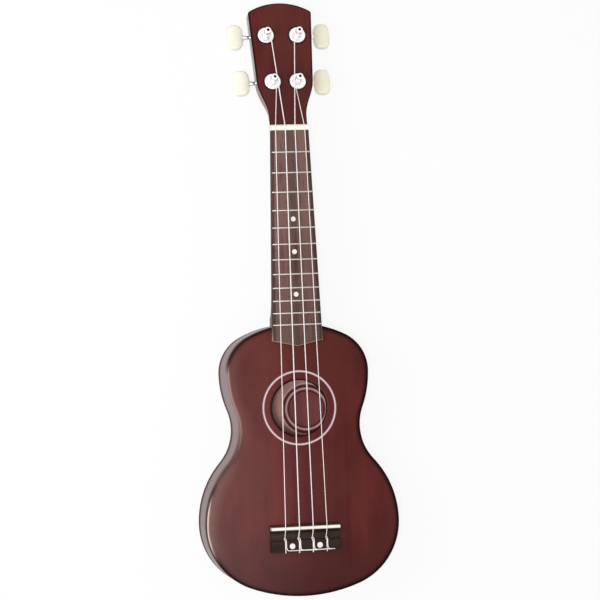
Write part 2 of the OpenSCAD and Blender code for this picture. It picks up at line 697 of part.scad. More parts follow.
// Tang of a fret, or its slot.
module at_fret(n, w, h, l) translate([-l / 2, fret_y(n) - w / 2, body_h + board_t - h]) cube([l, w, h]);
module fret(n) {
    l = 2 * (board_half(fret_y(n)) - fret_inset);
    intersection() {
        translate([-l / 2, fret_y(n), body_h + board_t]) rotate([0, 90, 0]) cylinder(d = fret_w, h = l);
        translate([-l / 2, fret_y(n) - fret_w, body_h + board_t]) cube([l, 2 * fret_w, fret_w]);
    }
    at_fret(n, tang_w, tang_h, l);
}
module frets() color(metal) for (n = [1:fret_count]) fret(n);

module dots(d, t, above) for (n = dot_frets)
    translate([0, (fret_y(n) + fret_y(n - 1)) / 2, body_h + board_t - t]) cylinder(d = d, h = t + above);
module position_dots() color(nylon) dots(dot_d, dot_t, 0);

// Nut with a level slot for each string, which then falls away to the post.
module nut() color(ivory) difference() {
    translate([-nut_w / 2, nut_y, body_h]) rotate([90, 0, 90]) linear_extrude(nut_w)
        polygon([[0, 0], [nut_t, 0], [nut_t, nut_h - nut_fall], [nut_t - nut_fall, nut_h],
            [nut_edge, nut_h], [0, nut_h - nut_edge]]);
    for (i = [0:3]) nut_slot(i);
}
module nut_slot(i) {
    w = string_d[i] + 2 * seat_gap;
    b = nut_bend(i);
    d = from_head(wind_point(i, wind_start(i))) - b;
    translate([b.x, b.y, body_h + slot_h]) {
        translate([-w / 2, -nut_t, 0]) cube([w, nut_t, nut_h]);
        rotate([0, 0, -atan2(d.x, d.y)]) rotate([atan2(d.z, d.y), 0, 0])
            translate([-w / 2, -w / 2, 0]) cube([w, 2 * nut_t, nut_h]);
    }
}

ridge_l = saddle_front + saddle_t / 2 + saddle_wall;
// Bridge: its profile runs straight across, with the saddle near the front and the tie block behind.
module bridge() color(dark_wood) difference() {
    translate([-bridge_w / 2, bridge_front, body_h]) rotate([90, 0, 90]) linear_extrude(bridge_w) polygon([
        [0, 0], [0, bridge_h - bridge_edge], [-bridge_edge, bridge_h], [-ridge_l, bridge_h],
        [-ridge_l - trough_slope, trough_h], [tie_l - bridge_l, trough_h],
        [tie_l - bridge_l, tie_h - bridge_edge], [tie_l - bridge_l - bridge_edge, tie_h],
        [-bridge_l, tie_h], [-bridge_l, 0]]);
    translate([-bridge_w, saddle_y - saddle_t / 2 - inlay_gap, body_h + bridge_h - saddle_seat])
        cube([2 * bridge_w, saddle_t + 2 * inlay_gap, bridge_h]);
    for (i = [0:3]) translate([spread(i, saddle_gap), tie_front + past, body_h + tie_hole_h])
        rotate([90, 0, 0]) cylinder(d = tie_hole_d, h = tie_l + 2 * past);
    bridge_dot_pair(bridge_dot_d + 2 * inlay_gap, past);
}
module bridge_dot_pair(d, above) for (s = [-1, 1])
    translate([s * saddle_gap, bridge_back + tie_l / 2, body_h + tie_h - dot_t])
    cylinder(d = d, h = dot_t + above);
module bridge_dots() color(nylon) bridge_dot_pair(bridge_dot_d, 0);

module saddle() color(ivory) translate([-bridge_w / 2, saddle_y, body_h]) rotate([90, 0, 90])
    linear_extrude(bridge_w) union() {
        translate([-saddle_t / 2, bridge_h - saddle_seat])
            square([saddle_t, saddle_h - saddle_t / 2 - bridge_h + saddle_seat]);
        translate([0, saddle_h - saddle_t / 2]) circle(d = saddle_t);
    }

module string(i) color(nylon) tube(string_path(i), string_d[i] / 2);

module ferrule(i) color(metal) at_tuner(i) translate([0, 0, head_t]) rotate_extrude() {
    bore = post_r + run_gap;
    polygon([[bore, -barrel_l], [barrel_r, -barrel_l], [barrel_r, 0], [ferrule_d / 2, 0],
        [ferrule_d / 2, ferrule_t - ferrule_edge], [ferrule_d / 2 - ferrule_edge, ferrule_t],
        [bore, ferrule_t]]);
}

module tuner_plate(i) color(metal) at_tuner(i) difference() {
    union() {
        translate([0, 0, -plate_t]) linear_extrude(plate_t) cut_plate();
        for (x = [-lug_end, lug_x]) translate([x, worm_y, 0])
            rotate([90, 0, 90]) linear_extrude(lug_t) lug_shape();
    }
    translate([0, 0, -2 * plate_t]) cylinder(r = journal_r + run_gap, h = 3 * plate_t);
    translate([-2 * lug_end, worm_y, -worm_depth]) rotate([0, 90, 0])
        cylinder(d = journal_d + 2 * run_gap, h = 2 * lug_end);
    translate([0, worm_y, -worm_depth]) rotate([0, 90, 0])
        cylinder(d = shaft_d + 2 * run_gap, h = 2 * lug_end);
    plate_screws() translate([0, 0, -2 * plate_t]) cylinder(d = screw_d + 2 * inlay_gap, h = 3 * plate_t);
}
module cut_plate() polygon([
    [-plate_w / 2, plate_low + plate_cut], [plate_cut - plate_w / 2, plate_low],
    [plate_w / 2 - plate_cut, plate_low], [plate_w / 2, plate_low + plate_cut],
    [plate_w / 2, plate_high - plate_cut], [plate_w / 2 - plate_cut, plate_high],
    [plate_cut - plate_w / 2, plate_high], [-plate_w / 2, plate_high - plate_cut]]);
module lug_shape() polygon([
    [-lug_w / 2, -plate_t / 2], [lug_w / 2, -plate_t / 2],
    [lug_w / 2, lug_w / 4 - lug_h], [lug_w / 4, -lug_h],
    [-lug_w / 4, -lug_h], [-lug_w / 2, lug_w / 4 - lug_h]]);

module tuner_screws() color(metal) for (i = [0:3]) at_tuner(i) plate_screws() {
    translate([0, 0, -plate_t - screw_head_t]) cylinder(d = screw_head_d, h = screw_head_t);
    translate([0, 0, -plate_t - screw_head_t / 2])
        cylinder(d = screw_d, h = screw_head_t / 2 + plate_t + screw_l);
}

// Post: turned body with a waist for the winding, a journal in the plate and a square end for the gear.
module post(i) color(metal) at_tuner(i) difference() {
    union() {
        rotate_extrude() polygon([
            [0, -plate_t - move_gap], [journal_r, -plate_t - move_gap], [journal_r, move_gap],
            [post_r, move_gap], [post_r, head_t + ferrule_t - waist_slope],
            [post_waist_r, head_t + ferrule_t], [post_waist_r, head_t + waist_top],
            [post_r, head_t + waist_top + waist_slope], [post_r, head_t + post_h - post_edge],
            [post_r - post_edge, head_t + post_h], [0, head_t + post_h]]);
        translate([-square_w / 2, -square_w / 2, -gear_bottom]) cube([square_w, square_w, gear_bottom]);
    }
    translate([0, 0, -gear_bottom - past])
        cylinder(d = gear_screw_d + 2 * inlay_gap, h = past + gear_w + move_gap);
    translate([0, post_d, string_hole_z]) rotate([90, 0, 0]) cylinder(d = string_hole_d, h = 2 * post_d);
    translate([0, 0, string_hole_z]) cylinder(d = end_hole_d, h = post_head);
}

// Gear wheel with one tooth toward the worm, in the gap of its thread.
module gear(i) color(brass) at_tuner(i) difference() {
    union() {
        translate([0, 0, -gear_bottom]) linear_extrude(gear_w) gear_shape();
        translate([0, 0, -gear_top]) cylinder(r = hub_r, h = gear_top - plate_t - move_gap);
    }
    translate([-square_w / 2 - inlay_gap, -square_w / 2 - inlay_gap, -2 * gear_bottom])
        cube([square_w + 2 * inlay_gap, square_w + 2 * inlay_gap, 2 * gear_bottom]);
}
module gear_shape() polygon([for (n = [0:gear_teeth - 1])
    let(a = 90 + 360 * n / gear_teeth, root = asin(tooth_root_w / 2 / gear_root_r),
        tip = asin(tooth_tip_w / 2 / gear_tip_r))
    for (p = [[gear_root_r, a - root], [gear_tip_r, a - tip], [gear_tip_r, a + tip], [gear_root_r, a + root]])
        p[0] * [cos(p[1]), sin(p[1])]]);

module gear_screw(i) color(metal) at_tuner(i) {
    translate([0, 0, -gear_bottom - screw_head_t]) cylinder(d = screw_head_d, h = screw_head_t);
    translate([0, 0, -gear_bottom - screw_head_t / 2])
        cylinder(d = gear_screw_d, h = screw_head_t / 2 + gear_w);
}

module worm_shaft(i) color(metal) at_tuner(i) translate([0, worm_y, -worm_depth]) {
    start = lug_x - move_gap;
    turned_part(-lug_end - move_gap, -start, journal_d / 2);
    turned_part(-start, start, worm_root_r);
    skin(thread_rings());
    turned_part(start, button_from_post, shaft_d / 2);
    turned_part(button_from_post - move_gap - collar_l, button_from_post - move_gap, shaft_d / 2 + collar_h);
    turned_part(button_from_post, button_from_post + button_pin_l, button_pin_d / 2);
}
module turned_part(from, to, r) translate([from, 0, 0]) rotate([0, 90, 0]) cylinder(r = r, h = to - from);
function thread_rings() =
    let(half = 180 * (worm_l - tooth_root_w) / pitch, n = ceil(2 * half / thread_angle),
        low = worm_root_r - thread_sink, high = shaft_d / 2,
        profile = [[-tooth_root_w, low], [tooth_root_w, low], [tooth_tip_w, high], [-tooth_tip_w, high]])
    [for (k = [0:n]) let(a = mix(-half, half, k / n), x = pitch * a / 360)
        [for (p = profile) [x + p[0] / 2, p[1] * cos(a), p[1] * sin(a)]]];

// Button: rounded outline, a little narrower toward the head, with bulged faces.
module button(i) color(ivory) at_tuner(i) translate([button_from_post, worm_y, -worm_depth]) difference() {
    intersection() {
        translate([0, 0, -button_t]) linear_extrude(2 * button_t) polygon(button_outline());
        for_bulge(1);
        for_bulge(-1);
    }
    translate([-past, 0, 0]) rotate([0, 90, 0])
        cylinder(d = button_pin_d + 2 * inlay_gap, h = past + button_pin_l + inlay_gap);
}
module for_bulge(s) translate([button_l / 2, button_w, s * (button_t / 2 - button_face_r)])
    rotate([90, 0, 0]) cylinder(r = button_face_r, h = 2 * button_w);
function bent(x, power) = sign(x) * pow(abs(x), power);
function button_outline() = [for (a = [0:7.5:352.5])
    [button_l / 2 * (1 + bent(cos(a), 0.64)), button_w / 2 * bent(sin(a), 0.62) * (0.95 + 0.05 * cos(a))]];

soundboard();
back();
side(-1);  // side_bass
side(1);  // side_treble
neck_block();
tail_block();
top_lining(-1);  // top_lining_bass
top_lining(1);  // top_lining_treble
back_lining(-1);  // back_lining_bass
back_lining(1);  // back_lining_treble
upper_top_brace();
lower_top_brace();
upper_back_brace();
lower_back_brace();
bridge_plate();
neck_dowels();
rosette();
neck();
fretboard();
frets();
position_dots();
nut();
bridge();
saddle();
bridge_dots();
tuner_screws();
for (i = [0:3]) {
    string(i);
    ferrule(i);
    tuner_plate(i);
    post(i);
    gear(i);
    gear_screw(i);
    worm_shaft(i);
    button(i);
}
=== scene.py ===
"""Soprano ukulele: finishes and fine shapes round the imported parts.

Pieces are drawn in millimetres, in the frame of the instrument: +Z out of the soundboard, +Y to the head.
Finishes lie on the finished pieces, so the lengths in them are in metres.
"""
import math

import bmesh
import bpy
from mathutils import Matrix, Vector
from mathutils.geometry import interpolate_bezier


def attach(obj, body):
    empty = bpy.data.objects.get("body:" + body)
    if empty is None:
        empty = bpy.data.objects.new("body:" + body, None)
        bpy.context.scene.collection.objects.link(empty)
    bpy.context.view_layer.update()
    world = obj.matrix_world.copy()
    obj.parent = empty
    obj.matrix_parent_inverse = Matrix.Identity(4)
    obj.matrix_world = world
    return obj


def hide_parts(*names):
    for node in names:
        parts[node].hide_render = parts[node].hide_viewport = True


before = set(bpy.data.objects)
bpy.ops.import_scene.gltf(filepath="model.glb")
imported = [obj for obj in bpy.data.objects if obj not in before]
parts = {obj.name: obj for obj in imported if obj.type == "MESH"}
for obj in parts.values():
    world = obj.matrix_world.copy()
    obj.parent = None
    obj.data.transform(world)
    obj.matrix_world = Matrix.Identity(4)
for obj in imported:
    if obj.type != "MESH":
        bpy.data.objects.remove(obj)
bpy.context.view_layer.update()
scene = bpy.context.scene

# Drawing: how near counts as the same place, and the steps of rounds and full turns
NEAR, RING_NEAR = 1e-4, 1e-3
QUARTER, ARC_STEP, ROUND_STEPS = math.pi / 2, math.radians(2.5), 6
HOLE_STEPS, DOT_STEPS, SCREW_STEPS, BUTTON_STEPS = 96, 48, 32, 96

# Body
BODY_H, TOP_T, BACK_T, SIDE_T = 54.0, 2.4, 2.4, 2.2
END_Y = 121.1
UPPER_HALF, LOWER_HALF = 64.0, 87.0
SHOULDER_R, UPPER_CORNER_R, UPPER_FLANK_R = 96.6, 36.4, 89.4
WAIST_R, LOWER_FLANK_R, LOWER_CORNER_R, TAIL_R = 45.4, 81.8, 59.5, 136.7
HOLE_Y, HOLE_R, LIP_R, LIP_SHADE_W = END_Y - 75.0, 24.5, 1.2, 1.6
ROSETTE_R, ROSETTE_W, ROSETTE_T, GROOVE_RIM = 32.5, 2.4, 0.8, 2.0
EDGE_R = 1.7
PAPER_AT, PAPER_R, PAPER_T, PAPER_EASE, PAPER_GAP = (15.7, 43.5), 23.8, 0.2, 0.1, 0.01

# Neck and fretboard
SCALE_L, NUT_W, NECK_W12, BOARD_T, BOARD_EASE = 346.0, 34.0, 44.4, 5.0, 0.55
NUT_Y = END_Y + SCALE_L / 2 - 1.0
FRET_12 = NUT_Y - SCALE_L / 2
NECK_START, NECK_T, HEEL_NECK_T, HEEL_H, HEEL_FOOT = END_Y - 4.0, 13.0, 15.0, 49.0, 6.0
NECK_FLAT, NECK_ROUND, NECK_EASE = 0.04, 0.96, 0.3
HEEL_STEPS, NECK_STEPS = 18, 12
NUT_T, SLOT_H = 5.0, 6.4
BOARD_END, BOARD_POINT = FRET_12 - 14.0, 5.0
DOT_FRETS, DOT_R = (5, 7, 10), 2.2
FRET_HALF, FRET_H, FRET_INSET, FRET_STEPS = 0.8, 1.0, 0.4, 12
# A fret's round end: places in from the end, each with its share of the full section
FRET_END = ((0.0, 0.45), (0.12, 0.72), (0.4, 0.93), (0.8, 1.0))

# Head
HEAD_Y = NUT_Y + NUT_T
HEAD_TILT = math.radians(13.0)
HEAD_L, HEAD_T = 116.5, 13.0
HEAD_BASE_W, HEAD_TIP_W = 46.8, 58.8
FLARE_START, FLARE_END, TIP_R, TIP_CORNER_R = 8.0, 42.0, 54.0, 3.0
BACK_BLEND, FACE_EASE, BACK_EASE = 28.0, 1.1, 2.0
FLARE_STEP, SIDE_STEPS, CORNER_STEPS, TIP_STEPS = 2.0, 8, 8, 20
FACE_STEPS, BACK_STEPS, EDGE_WALL = 4, 16, 0.6
# The most of a half width that an eased edge takes up, and the least sideways part of its normal that counts
EASE_MOST, LEAST_SIDEWAYS = 0.96, 0.03
# The tip's arc stops just short of the middle, where both halves are merged.
TIP_END, TIP_MERGE = math.radians(89.98), 0.06

# Tuners
STRINGS = ("g", "c", "e", "a")
LOWER_STRINGS, UPPER_STRINGS = "ga", "ce"
POST_X = {"g": 11.4, "c": 14.35, "e": 14.35, "a": 11.4}
POST_V = {"g": 41.2, "c": 85.3, "e": 85.3, "a": 41.2}
HAND = {"g": -1, "c": -1, "e": 1, "a": 1}
POST_WAIST_R, FERRULE_T, FERRULE_R = 2.7, 1.6, 7.3
WORM_Y, WORM_DEPTH = 4.85, 4.8
POST_EDGE, POST_HEAD, WAIST_SLOPE, END_HOLE_R = 0.8, 4.5, 0.6, 1.3
BUTTON_FROM_POST, BUTTON_L, BUTTON_W, BUTTON_T, BUTTON_FACE_R = 18.1, 14.8, 24.0, 7.4, 22.0
BUTTON_EASE, BUTTON_MEAN_R, BUTTON_TAPER, BUTTON_OVAL = 1.5, 9.2, 0.05, (0.64, 0.62)
BUTTON_EASE_STEPS, BUTTON_FACE_SIZES = 7, (0.62, 0.4, 0.18, 0.04)
PLATE_T, GEAR_BOTTOM, SCREW_HEAD_R, SCREW_HEAD_T = 1.2, 5.8, 1.7, 0.9
SLOT_FLOOR, SLOT_HALF, SLOT_OVERLAP, DOME_INSET = 0.45, 0.25, 0.1, 0.03
PLATE_SHANK_R, PLATE_SHANK_L, BOLT_SHANK_R, BOLT_SHANK_L = 0.8, PLATE_T + 7.0, 0.65, 2.0
LOWER_SCREW_Y, UPPER_SCREW_Y = -6.15, 9.45
TUNER_TURN, SCREW_TURN, BOLT_TURN = 0.9, 1.7, 0.5
BORE_GAP, BORE_DROP, BORE_FLOOR, BORE_WALL, BORE_DISH = 0.01, 0.03, 0.9, (0.12, 0.2), (0.2, 0.1)

# Bridge and strings
SADDLE_Y = NUT_Y - SCALE_L - 7.0
SADDLE_H, SADDLE_T, SADDLE_GAP, NUT_GAP = 11.2970, 2.8, 12.4, 8.77
TIE_FRONT, BRIDGE_BACK, TIE_H, TIE_HOLE_H = SADDLE_Y - 10.5, SADDLE_Y - 21.0, 8.0, 4.7
STRING_D = {"g": 0.65, "c": 0.85, "e": 0.75, "a": 0.6}
WINDING_GAP, WINDING_TURNS, WIND_SEAT, WIND_GAP, SEAT_GAP = 0.45, 2, 0.35, 0.25, 0.05
UPPER_LIFT, WIND_STEPS, SADDLE_STEPS, LOOP_STEPS, HITCH_STEPS = 0.1, 110, 8, 6, 6
LEVEL_SHARES, FALL_SHARES = (0.25, 0.5, 0.75, 0.98), (0.03, 0.3, 0.6, 0.9)
LOOP_SLACK, STRING_TAIL, TIED_TAIL, LAST_TIED_TAIL = 0.3, 2.2, SADDLE_GAP + 3.5, 6.5
# Strings are drawn a little fuller than the solids.
DRAWN_FULL = 1.16


def leg(long, side):
    """The second leg of a right triangle."""
    return math.sqrt(long * long - side * side)


def heading(v):
    return math.atan2(v[1], v[0])


def share(a, b, t):
    """The value that lies a share t of the way from a to b."""
    return a + (b - a) * t


def smooth(t):
    t = min(max(t, 0.0), 1.0)
    return t * t * (3 - 2 * t)


def quarter(steps):
    """Angles of a quarter round."""
    return [QUARTER * k / steps for k in range(steps + 1)]


def head_point(u, v, h):
    """Point at u across, v along and h over the head's face."""
    return Vector((u, HEAD_Y + v * math.cos(HEAD_TILT) + h * math.sin(HEAD_TILT),
                   BODY_H - v * math.sin(HEAD_TILT) + h * math.cos(HEAD_TILT)))


def to_head(p):
    """A point's places across, along and over the head's face."""
    y, z = p.y - HEAD_Y, p.z - BODY_H
    return Vector((p.x, y * math.cos(HEAD_TILT) - z * math.sin(HEAD_TILT),
                   y * math.sin(HEAD_TILT) + z * math.cos(HEAD_TILT)))


class Level:
    """A value in a finish's nodes. Sums, differences and products of levels add Math nodes."""

    def __init__(self, tree, socket=None):
        self.tree, self.socket = tree, socket

    def node(self, kind, settings=None, values=None, out=0):
        """Adds a node: first its settings, then the values or links of its sockets."""
        made = self.tree.nodes.new(kind)
        for key, value in (settings or {}).items():
            setattr(made, key, value)
        for key, value in (values or {}).items():
            if isinstance(value, Level):
                self.tree.links.new(value.socket, made.inputs[key])
            else:
                made.inputs[key].default_value = value
        return Level(self.tree, made.outputs[out])

    def math(self, operation, first, second):
        return self.node("ShaderNodeMath", {"operation": operation}, {0: first, 1: second})

    def __abs__(self):
        return self.math("ABSOLUTE", self, 0.0)

    def __add__(self, other):
        return self.math("ADD", self, other)

    def __radd__(self, other):
        return self.math("ADD", other, self)

    def __sub__(self, other):
        return self.math("SUBTRACT", self, other)

    def __rsub__(self, other):
        return self.math("SUBTRACT", other, self)

    def __mul__(self, other):
        return self.math("MULTIPLY", self, other)

    def __rmul__(self, other):
        return self.math("MULTIPLY", other, self)


def tint(r, g, b):
    """Linear colour of an everyday one, whose parts go from 0 to 255."""
    levels = (r / 255, g / 255, b / 255)
    return tuple(c / 12.92 if c <= 0.04045 else ((c + 0.055) / 1.055) ** 2.4 for c in levels) + (1.0,)


def finish(name):
    made = bpy.data.materials.new(name)
    made.use_nodes = True
    made.node_tree.nodes.clear()
    return made, Level(made.node_tree)


def close(start, surface, kind="ShaderNodeOutputMaterial"):
    start.tree.links.new(surface.socket, start.tree.nodes.new(kind).inputs["Surface"])


def lay(start, colour, rough, normal, **fixed):
    """Ends a finish in one surface."""
    values = {"Base Color": colour, "Roughness": rough, "Normal": normal, **fixed}
    close(start, start.node("ShaderNodeBsdfPrincipled", {}, values))


def place(start):
    return start.node("ShaderNodeTexCoord", out="Object")


def mark(start, name):
    """A number that the drawn shape carries."""
    return start.node("ShaderNodeAttribute", {"attribute_name": name}, out="Fac")


def part_of(at, axis):
    return at.node("ShaderNodeSeparateXYZ", {}, {0: at}, out=axis)


def stretched(at, factors):
    return at.node("ShaderNodeVectorMath", {"operation": "MULTIPLY"}, {0: at, 1: factors})


def distance(at, centre):
    """How far a place lies from a centre that is given in millimetres."""
    return at.node("ShaderNodeVectorMath", {"operation": "DISTANCE"}, {0: at, 1: Vector(centre) / 1000},
                   out="Value")


def cloud(at, cells, detail=2.0, rough=0.5, twist=0.0):
    """Soft noise between 0 and 1, with so many cells to the metre along X, Y and Z."""
    spread_out = stretched(at, cells)
    return at.node("ShaderNodeTexNoise", {}, {
        "Vector": spread_out, "Scale": 1.0, "Detail": detail, "Roughness": rough, "Distortion": twist})


def grain(at, cells, fine=1.0, **noise):
    """Soft noise with so many cells to the metre across the fibres and along them."""
    across = cells[0] * fine
    return cloud(at, (across, cells[1], across), **noise)


def between(level, low, high):
    """0 below low, 1 above high, smooth between."""
    return level.node("ShaderNodeMapRange", {"interpolation_type": "SMOOTHSTEP"},
                      {"Value": level, "From Min": low, "From Max": high})


def greater(first, second):
    return first.math("MAXIMUM", first, second)


def mixed(level, first, second):
    """A colour that goes from the first to the second as the level goes from 0 to 1."""
    return level.node("ShaderNodeMix", {"data_type": "RGBA"}, {0: level, 6: first, 7: second}, out=2)


def relief(height, strength, depth, under=None):
    """Normal of a surface with fine heights, laid over another normal if there is one."""
    values = {"Height": height, "Strength": strength, "Distance": depth}
    if under is not None:
        values["Normal"] = under
    return height.node("ShaderNodeBump", {}, values)


def eased(start, radius):
    """Normal that rounds a solid's edges off."""
    return start.node("ShaderNodeBevel", {"samples": 4}, {"Radius": radius}, out="Normal")


# Noise of the finishes, in cells to the metre: wood across and along its fibres, the others along X, Y and Z
BANDS, FIBRES, BLOTCHES, PORES, DRIFT = (130, 5), (1500, 24), (34, 15), (2300, 95), (22, 13)
METAL_HAZE, METAL_RUB = (160, 160, 160), (900, 2600, 900)
CAST_SWIRL, PEARL_SWIRL, CAST_FLECK = (40, 60, 40), (260, 320, 260), (1800, 1800, 1800)
DISC_FLECK, BOARD_RAGGED = (700, 700, 700), (260, 30, 260)
# From where to where a noise counts
TONE_SPAN, DRIFT_SPAN, PORE_SPAN = (0.32, 0.68), (0.4, 0.66), (0.6, 0.72)
HAZE_SPAN, SWIRL_SPAN = (0.35, 0.75), (0.35, 0.7)
# How much of a colour or of roughness a noise brings
WARM_SHARE, HAZE_SHARE, SWIRL_SHARE, DISC_SHARE, LINE_LEAST = 0.75, 0.25, 0.7, 0.2, 0.7
FIBRE_ROUGH, PORE_ROUGH, RIM_ROUGH, RUB_ROUGH = 0.6, 0.12, 0.5, 0.6
FLECK_ROUGH, SWIRL_ROUGH, DISC_ROUGH = 0.12, 0.08, (0.45, 0.7)
# Strength and depth of the fine relief, and the radius of eased metal edges
METAL_BUMP, CAST_BUMP, DISC_BUMP = 0.05, 0.03, 0.06
WOOD_DEPTH, FINE_DEPTH, METAL_EASE = 0.00015, 0.0001, 0.0002


def wood(name, dark, light, pore, turn=None, bent=False, fine=1.0, gloss=(0.3, 0.45), bump=0.12, rim=None,
         soft=None, figure=(0.32, 0.24, 0.44), pored=0.4, warm=None, shade=None, worn=None, coat=0.0,
         rim_coat=0.0, dull=None, **fixed):
    """Wood with bands, fibres and pores along Y, or along the bend of a side.

    figure gives the shares of bands, fibres and blotches, and warm is a second hue that drifts in.
    shade is a place's share of a darker tone, and that tone.
    rim_coat is what the coat gains along a rim, and dull is the share of the coat that a place lacks.
    """
    made, start = finish(name)
    at = place(start)
    if bent:
        at = start.node("ShaderNodeCombineXYZ", {}, {"X": part_of(at, "Z"), "Y": mark(start, "run")})
    elif turn is not None:
        at = start.node("ShaderNodeMapping", {}, {"Vector": at, "Rotation": turn})
    bands = grain(at, BANDS, fine, detail=3.0, rough=0.55, twist=0.35)
    fibres = grain(at, FIBRES, fine, detail=3.0, rough=0.6)
    blotches = grain(at, BLOTCHES, detail=3.0)
    pores = between(grain(at, PORES, fine, detail=1.0), *PORE_SPAN)
    tone = between(figure[0] * bands + figure[1] * fibres + figure[2] * blotches, *TONE_SPAN)
    colour = mixed(tone, dark, light)
    if warm is not None:
        drift = grain(at, DRIFT, twist=0.6)
        colour = mixed(between(drift, *DRIFT_SPAN) * WARM_SHARE, colour, warm)
    colour = mixed(pores * pored, colour, pore)
    if shade is not None:
        colour = mixed(shade[0](at), colour, shade[1])
    # A pale tone laid where the shape marks it: a painted highlight and sheen.
    if worn is not None:
        colour = mixed(mark(start, "worn"), colour, worn)
    rough = share(*gloss, FIBRE_ROUGH * fibres + (1 - FIBRE_ROUGH) * blotches) + PORE_ROUGH * pores
    if rim is not None:
        edge = mark(start, "rim")
        colour = mixed(edge, colour, rim)
        rough = rough + RIM_ROUGH * edge
        if rim_coat:
            weight = coat + rim_coat * edge
            fixed["Coat Weight"] = weight if dull is None else weight * (1 - dull(at))
    under = None if soft is None else eased(start, soft)
    lay(start, colour, rough, relief(0.5 * fibres - pores, bump, WOOD_DEPTH, under), **fixed)
    return made


def metal(name, light, dark, gloss, scratch):
    """Polished or plated metal with fine rubbing marks and a slight haze."""
    made, start = finish(name)
    at = place(start)
    haze = cloud(at, METAL_HAZE, 3.0)
    rub = cloud(at, METAL_RUB)
    colour = mixed(between(haze, *HAZE_SPAN) * HAZE_SHARE, light, dark)
    rough = gloss + scratch * (RUB_ROUGH * rub + (1 - RUB_ROUGH) * haze)
    lay(start, colour, rough, relief(rub, METAL_BUMP, FINE_DEPTH, eased(start, METAL_EASE)), Metallic=1.0)
    return made


def plastic(name, pale, deep, gloss, soft=0.0003, swirl=CAST_SWIRL, **fixed):
    """Cast plastic or bone: slow swirls, fine flecks and a soft shine."""
    made, start = finish(name)
    at = place(start)
    swirls = cloud(at, swirl, 4.0, 0.6, 1.2)
    flecks = cloud(at, CAST_FLECK)
    cast = between(swirls, *SWIRL_SPAN) * SWIRL_SHARE + flecks * (1 - SWIRL_SHARE)
    rough = gloss + FLECK_ROUGH * flecks + SWIRL_ROUGH * swirls
    normal = relief(flecks, CAST_BUMP, FINE_DEPTH, eased(start, soft))
    lay(start, mixed(cast, pale, deep), rough, normal, **fixed)
    return made


def ringed(name, centre, field, lines, **fixed):
    """Flat disc or ring with plain round lines about its centre, each with its radius, width and tone."""
    made, start = finish(name)
    at = place(start)
    off_centre = distance(stretched(at, (1, 1, 0)), (*centre, 0))
    flecks = cloud(at, DISC_FLECK, 3.0)
    colour = mixed(flecks * DISC_SHARE, field, lines[0][2])
    for radius, width, tone in lines:
        line = 1 - between(abs(off_centre - radius / 1000), width / 3000, width / 1000)
        colour = mixed(line * share(LINE_LEAST, 1.0, flecks), colour, tone)
    lay(start, colour, share(*DISC_ROUGH, flecks), relief(flecks, DISC_BUMP, FINE_DEPTH), **fixed)
    return made


# Where the body darkens: along it toward the tail, and across it toward the treble side, where it is painted
# shade
TAIL_SPAN, TREBLE_SPAN = (-0.124, -0.05), (-0.045, 0.025)
TAIL_DARK, TREBLE_DARK, TREBLE_DULL = 0.7, 0.26, 0.5


def toward_treble(at):
    return between(part_of(at, "X"), *TREBLE_SPAN)


def body_shade(at):
    """Darker toward the tail, and a little toward the treble side as painted shade."""
    tail = (1 - between(part_of(at, "Y"), *TAIL_SPAN)) * TAIL_DARK
    return 1 - (1 - tail) * (1 - toward_treble(at) * TREBLE_DARK)


def body_dull(at):
    """The coat is thinner on the treble side."""
    return toward_treble(at) * TREBLE_DULL


# Where the fretboard darkens: inside its edge, beside its middle streak, and along it toward the body
BOARD_EDGE_SPAN, STREAK_SPAN, BOARD_END_SPAN = (-0.0026, -0.0008), (0.0032, 0.0062), (0.1, 0.3)
EDGE_RAGGED, STREAK_RAGGED, STREAK_X = 0.0022, 0.004, 0.0006
STREAK_SHARE, BOARD_DARK, BOARD_END_DARK = 0.6, 0.75, 0.36


def board_shade(at):
    """Darker along the fretboard's edges, in a streak down its middle, and toward the body."""
    across, along = part_of(at, "X"), part_of(at, "Y")
    taper = (NUT_W - NECK_W12) / 2 / (NUT_Y - FRET_12)
    half = along * taper + (NECK_W12 / 2 - taper * FRET_12) / 1000
    ragged = cloud(at, BOARD_RAGGED, 3.0)
    edge = between(abs(across) - half + EDGE_RAGGED * ragged, *BOARD_EDGE_SPAN)
    off_streak = abs(across - STREAK_X) + STREAK_RAGGED * ragged
    middle = (1 - between(off_streak, *STREAK_SPAN)) * STREAK_SHARE
    body_end = (1 - between(along, *BOARD_END_SPAN)) * BOARD_END_DARK
    return 1 - (1 - greater(edge, middle) * BOARD_DARK) * (1 - body_end)


# Where the head darkens: along it past the nut, and round a ferrule as painted shadow
NUT_SPAN, NUT_FADE, NUT_DARK = (0.29, 0.3), (0.315, 0.385), 0.3
FERRULE_SPAN, FERRULE_DARK = ((FERRULE_R + 0.6) / 1000, (FERRULE_R + 2.4) / 1000), 0.9


def head_shade(at):
    """Darker toward the nut, with a painted shadow round each ferrule."""
    along = part_of(at, "Y")
    dark = between(along, *NUT_SPAN) * (1 - between(along, *NUT_FADE)) * NUT_DARK
    for string in STRINGS:
        gap = distance(at, head_point(HAND[string] * POST_X[string], POST_V[string], 0))
        dark = greater(dark, (1 - between(gap, *FERRULE_SPAN)) * FERRULE_DARK)
    return dark


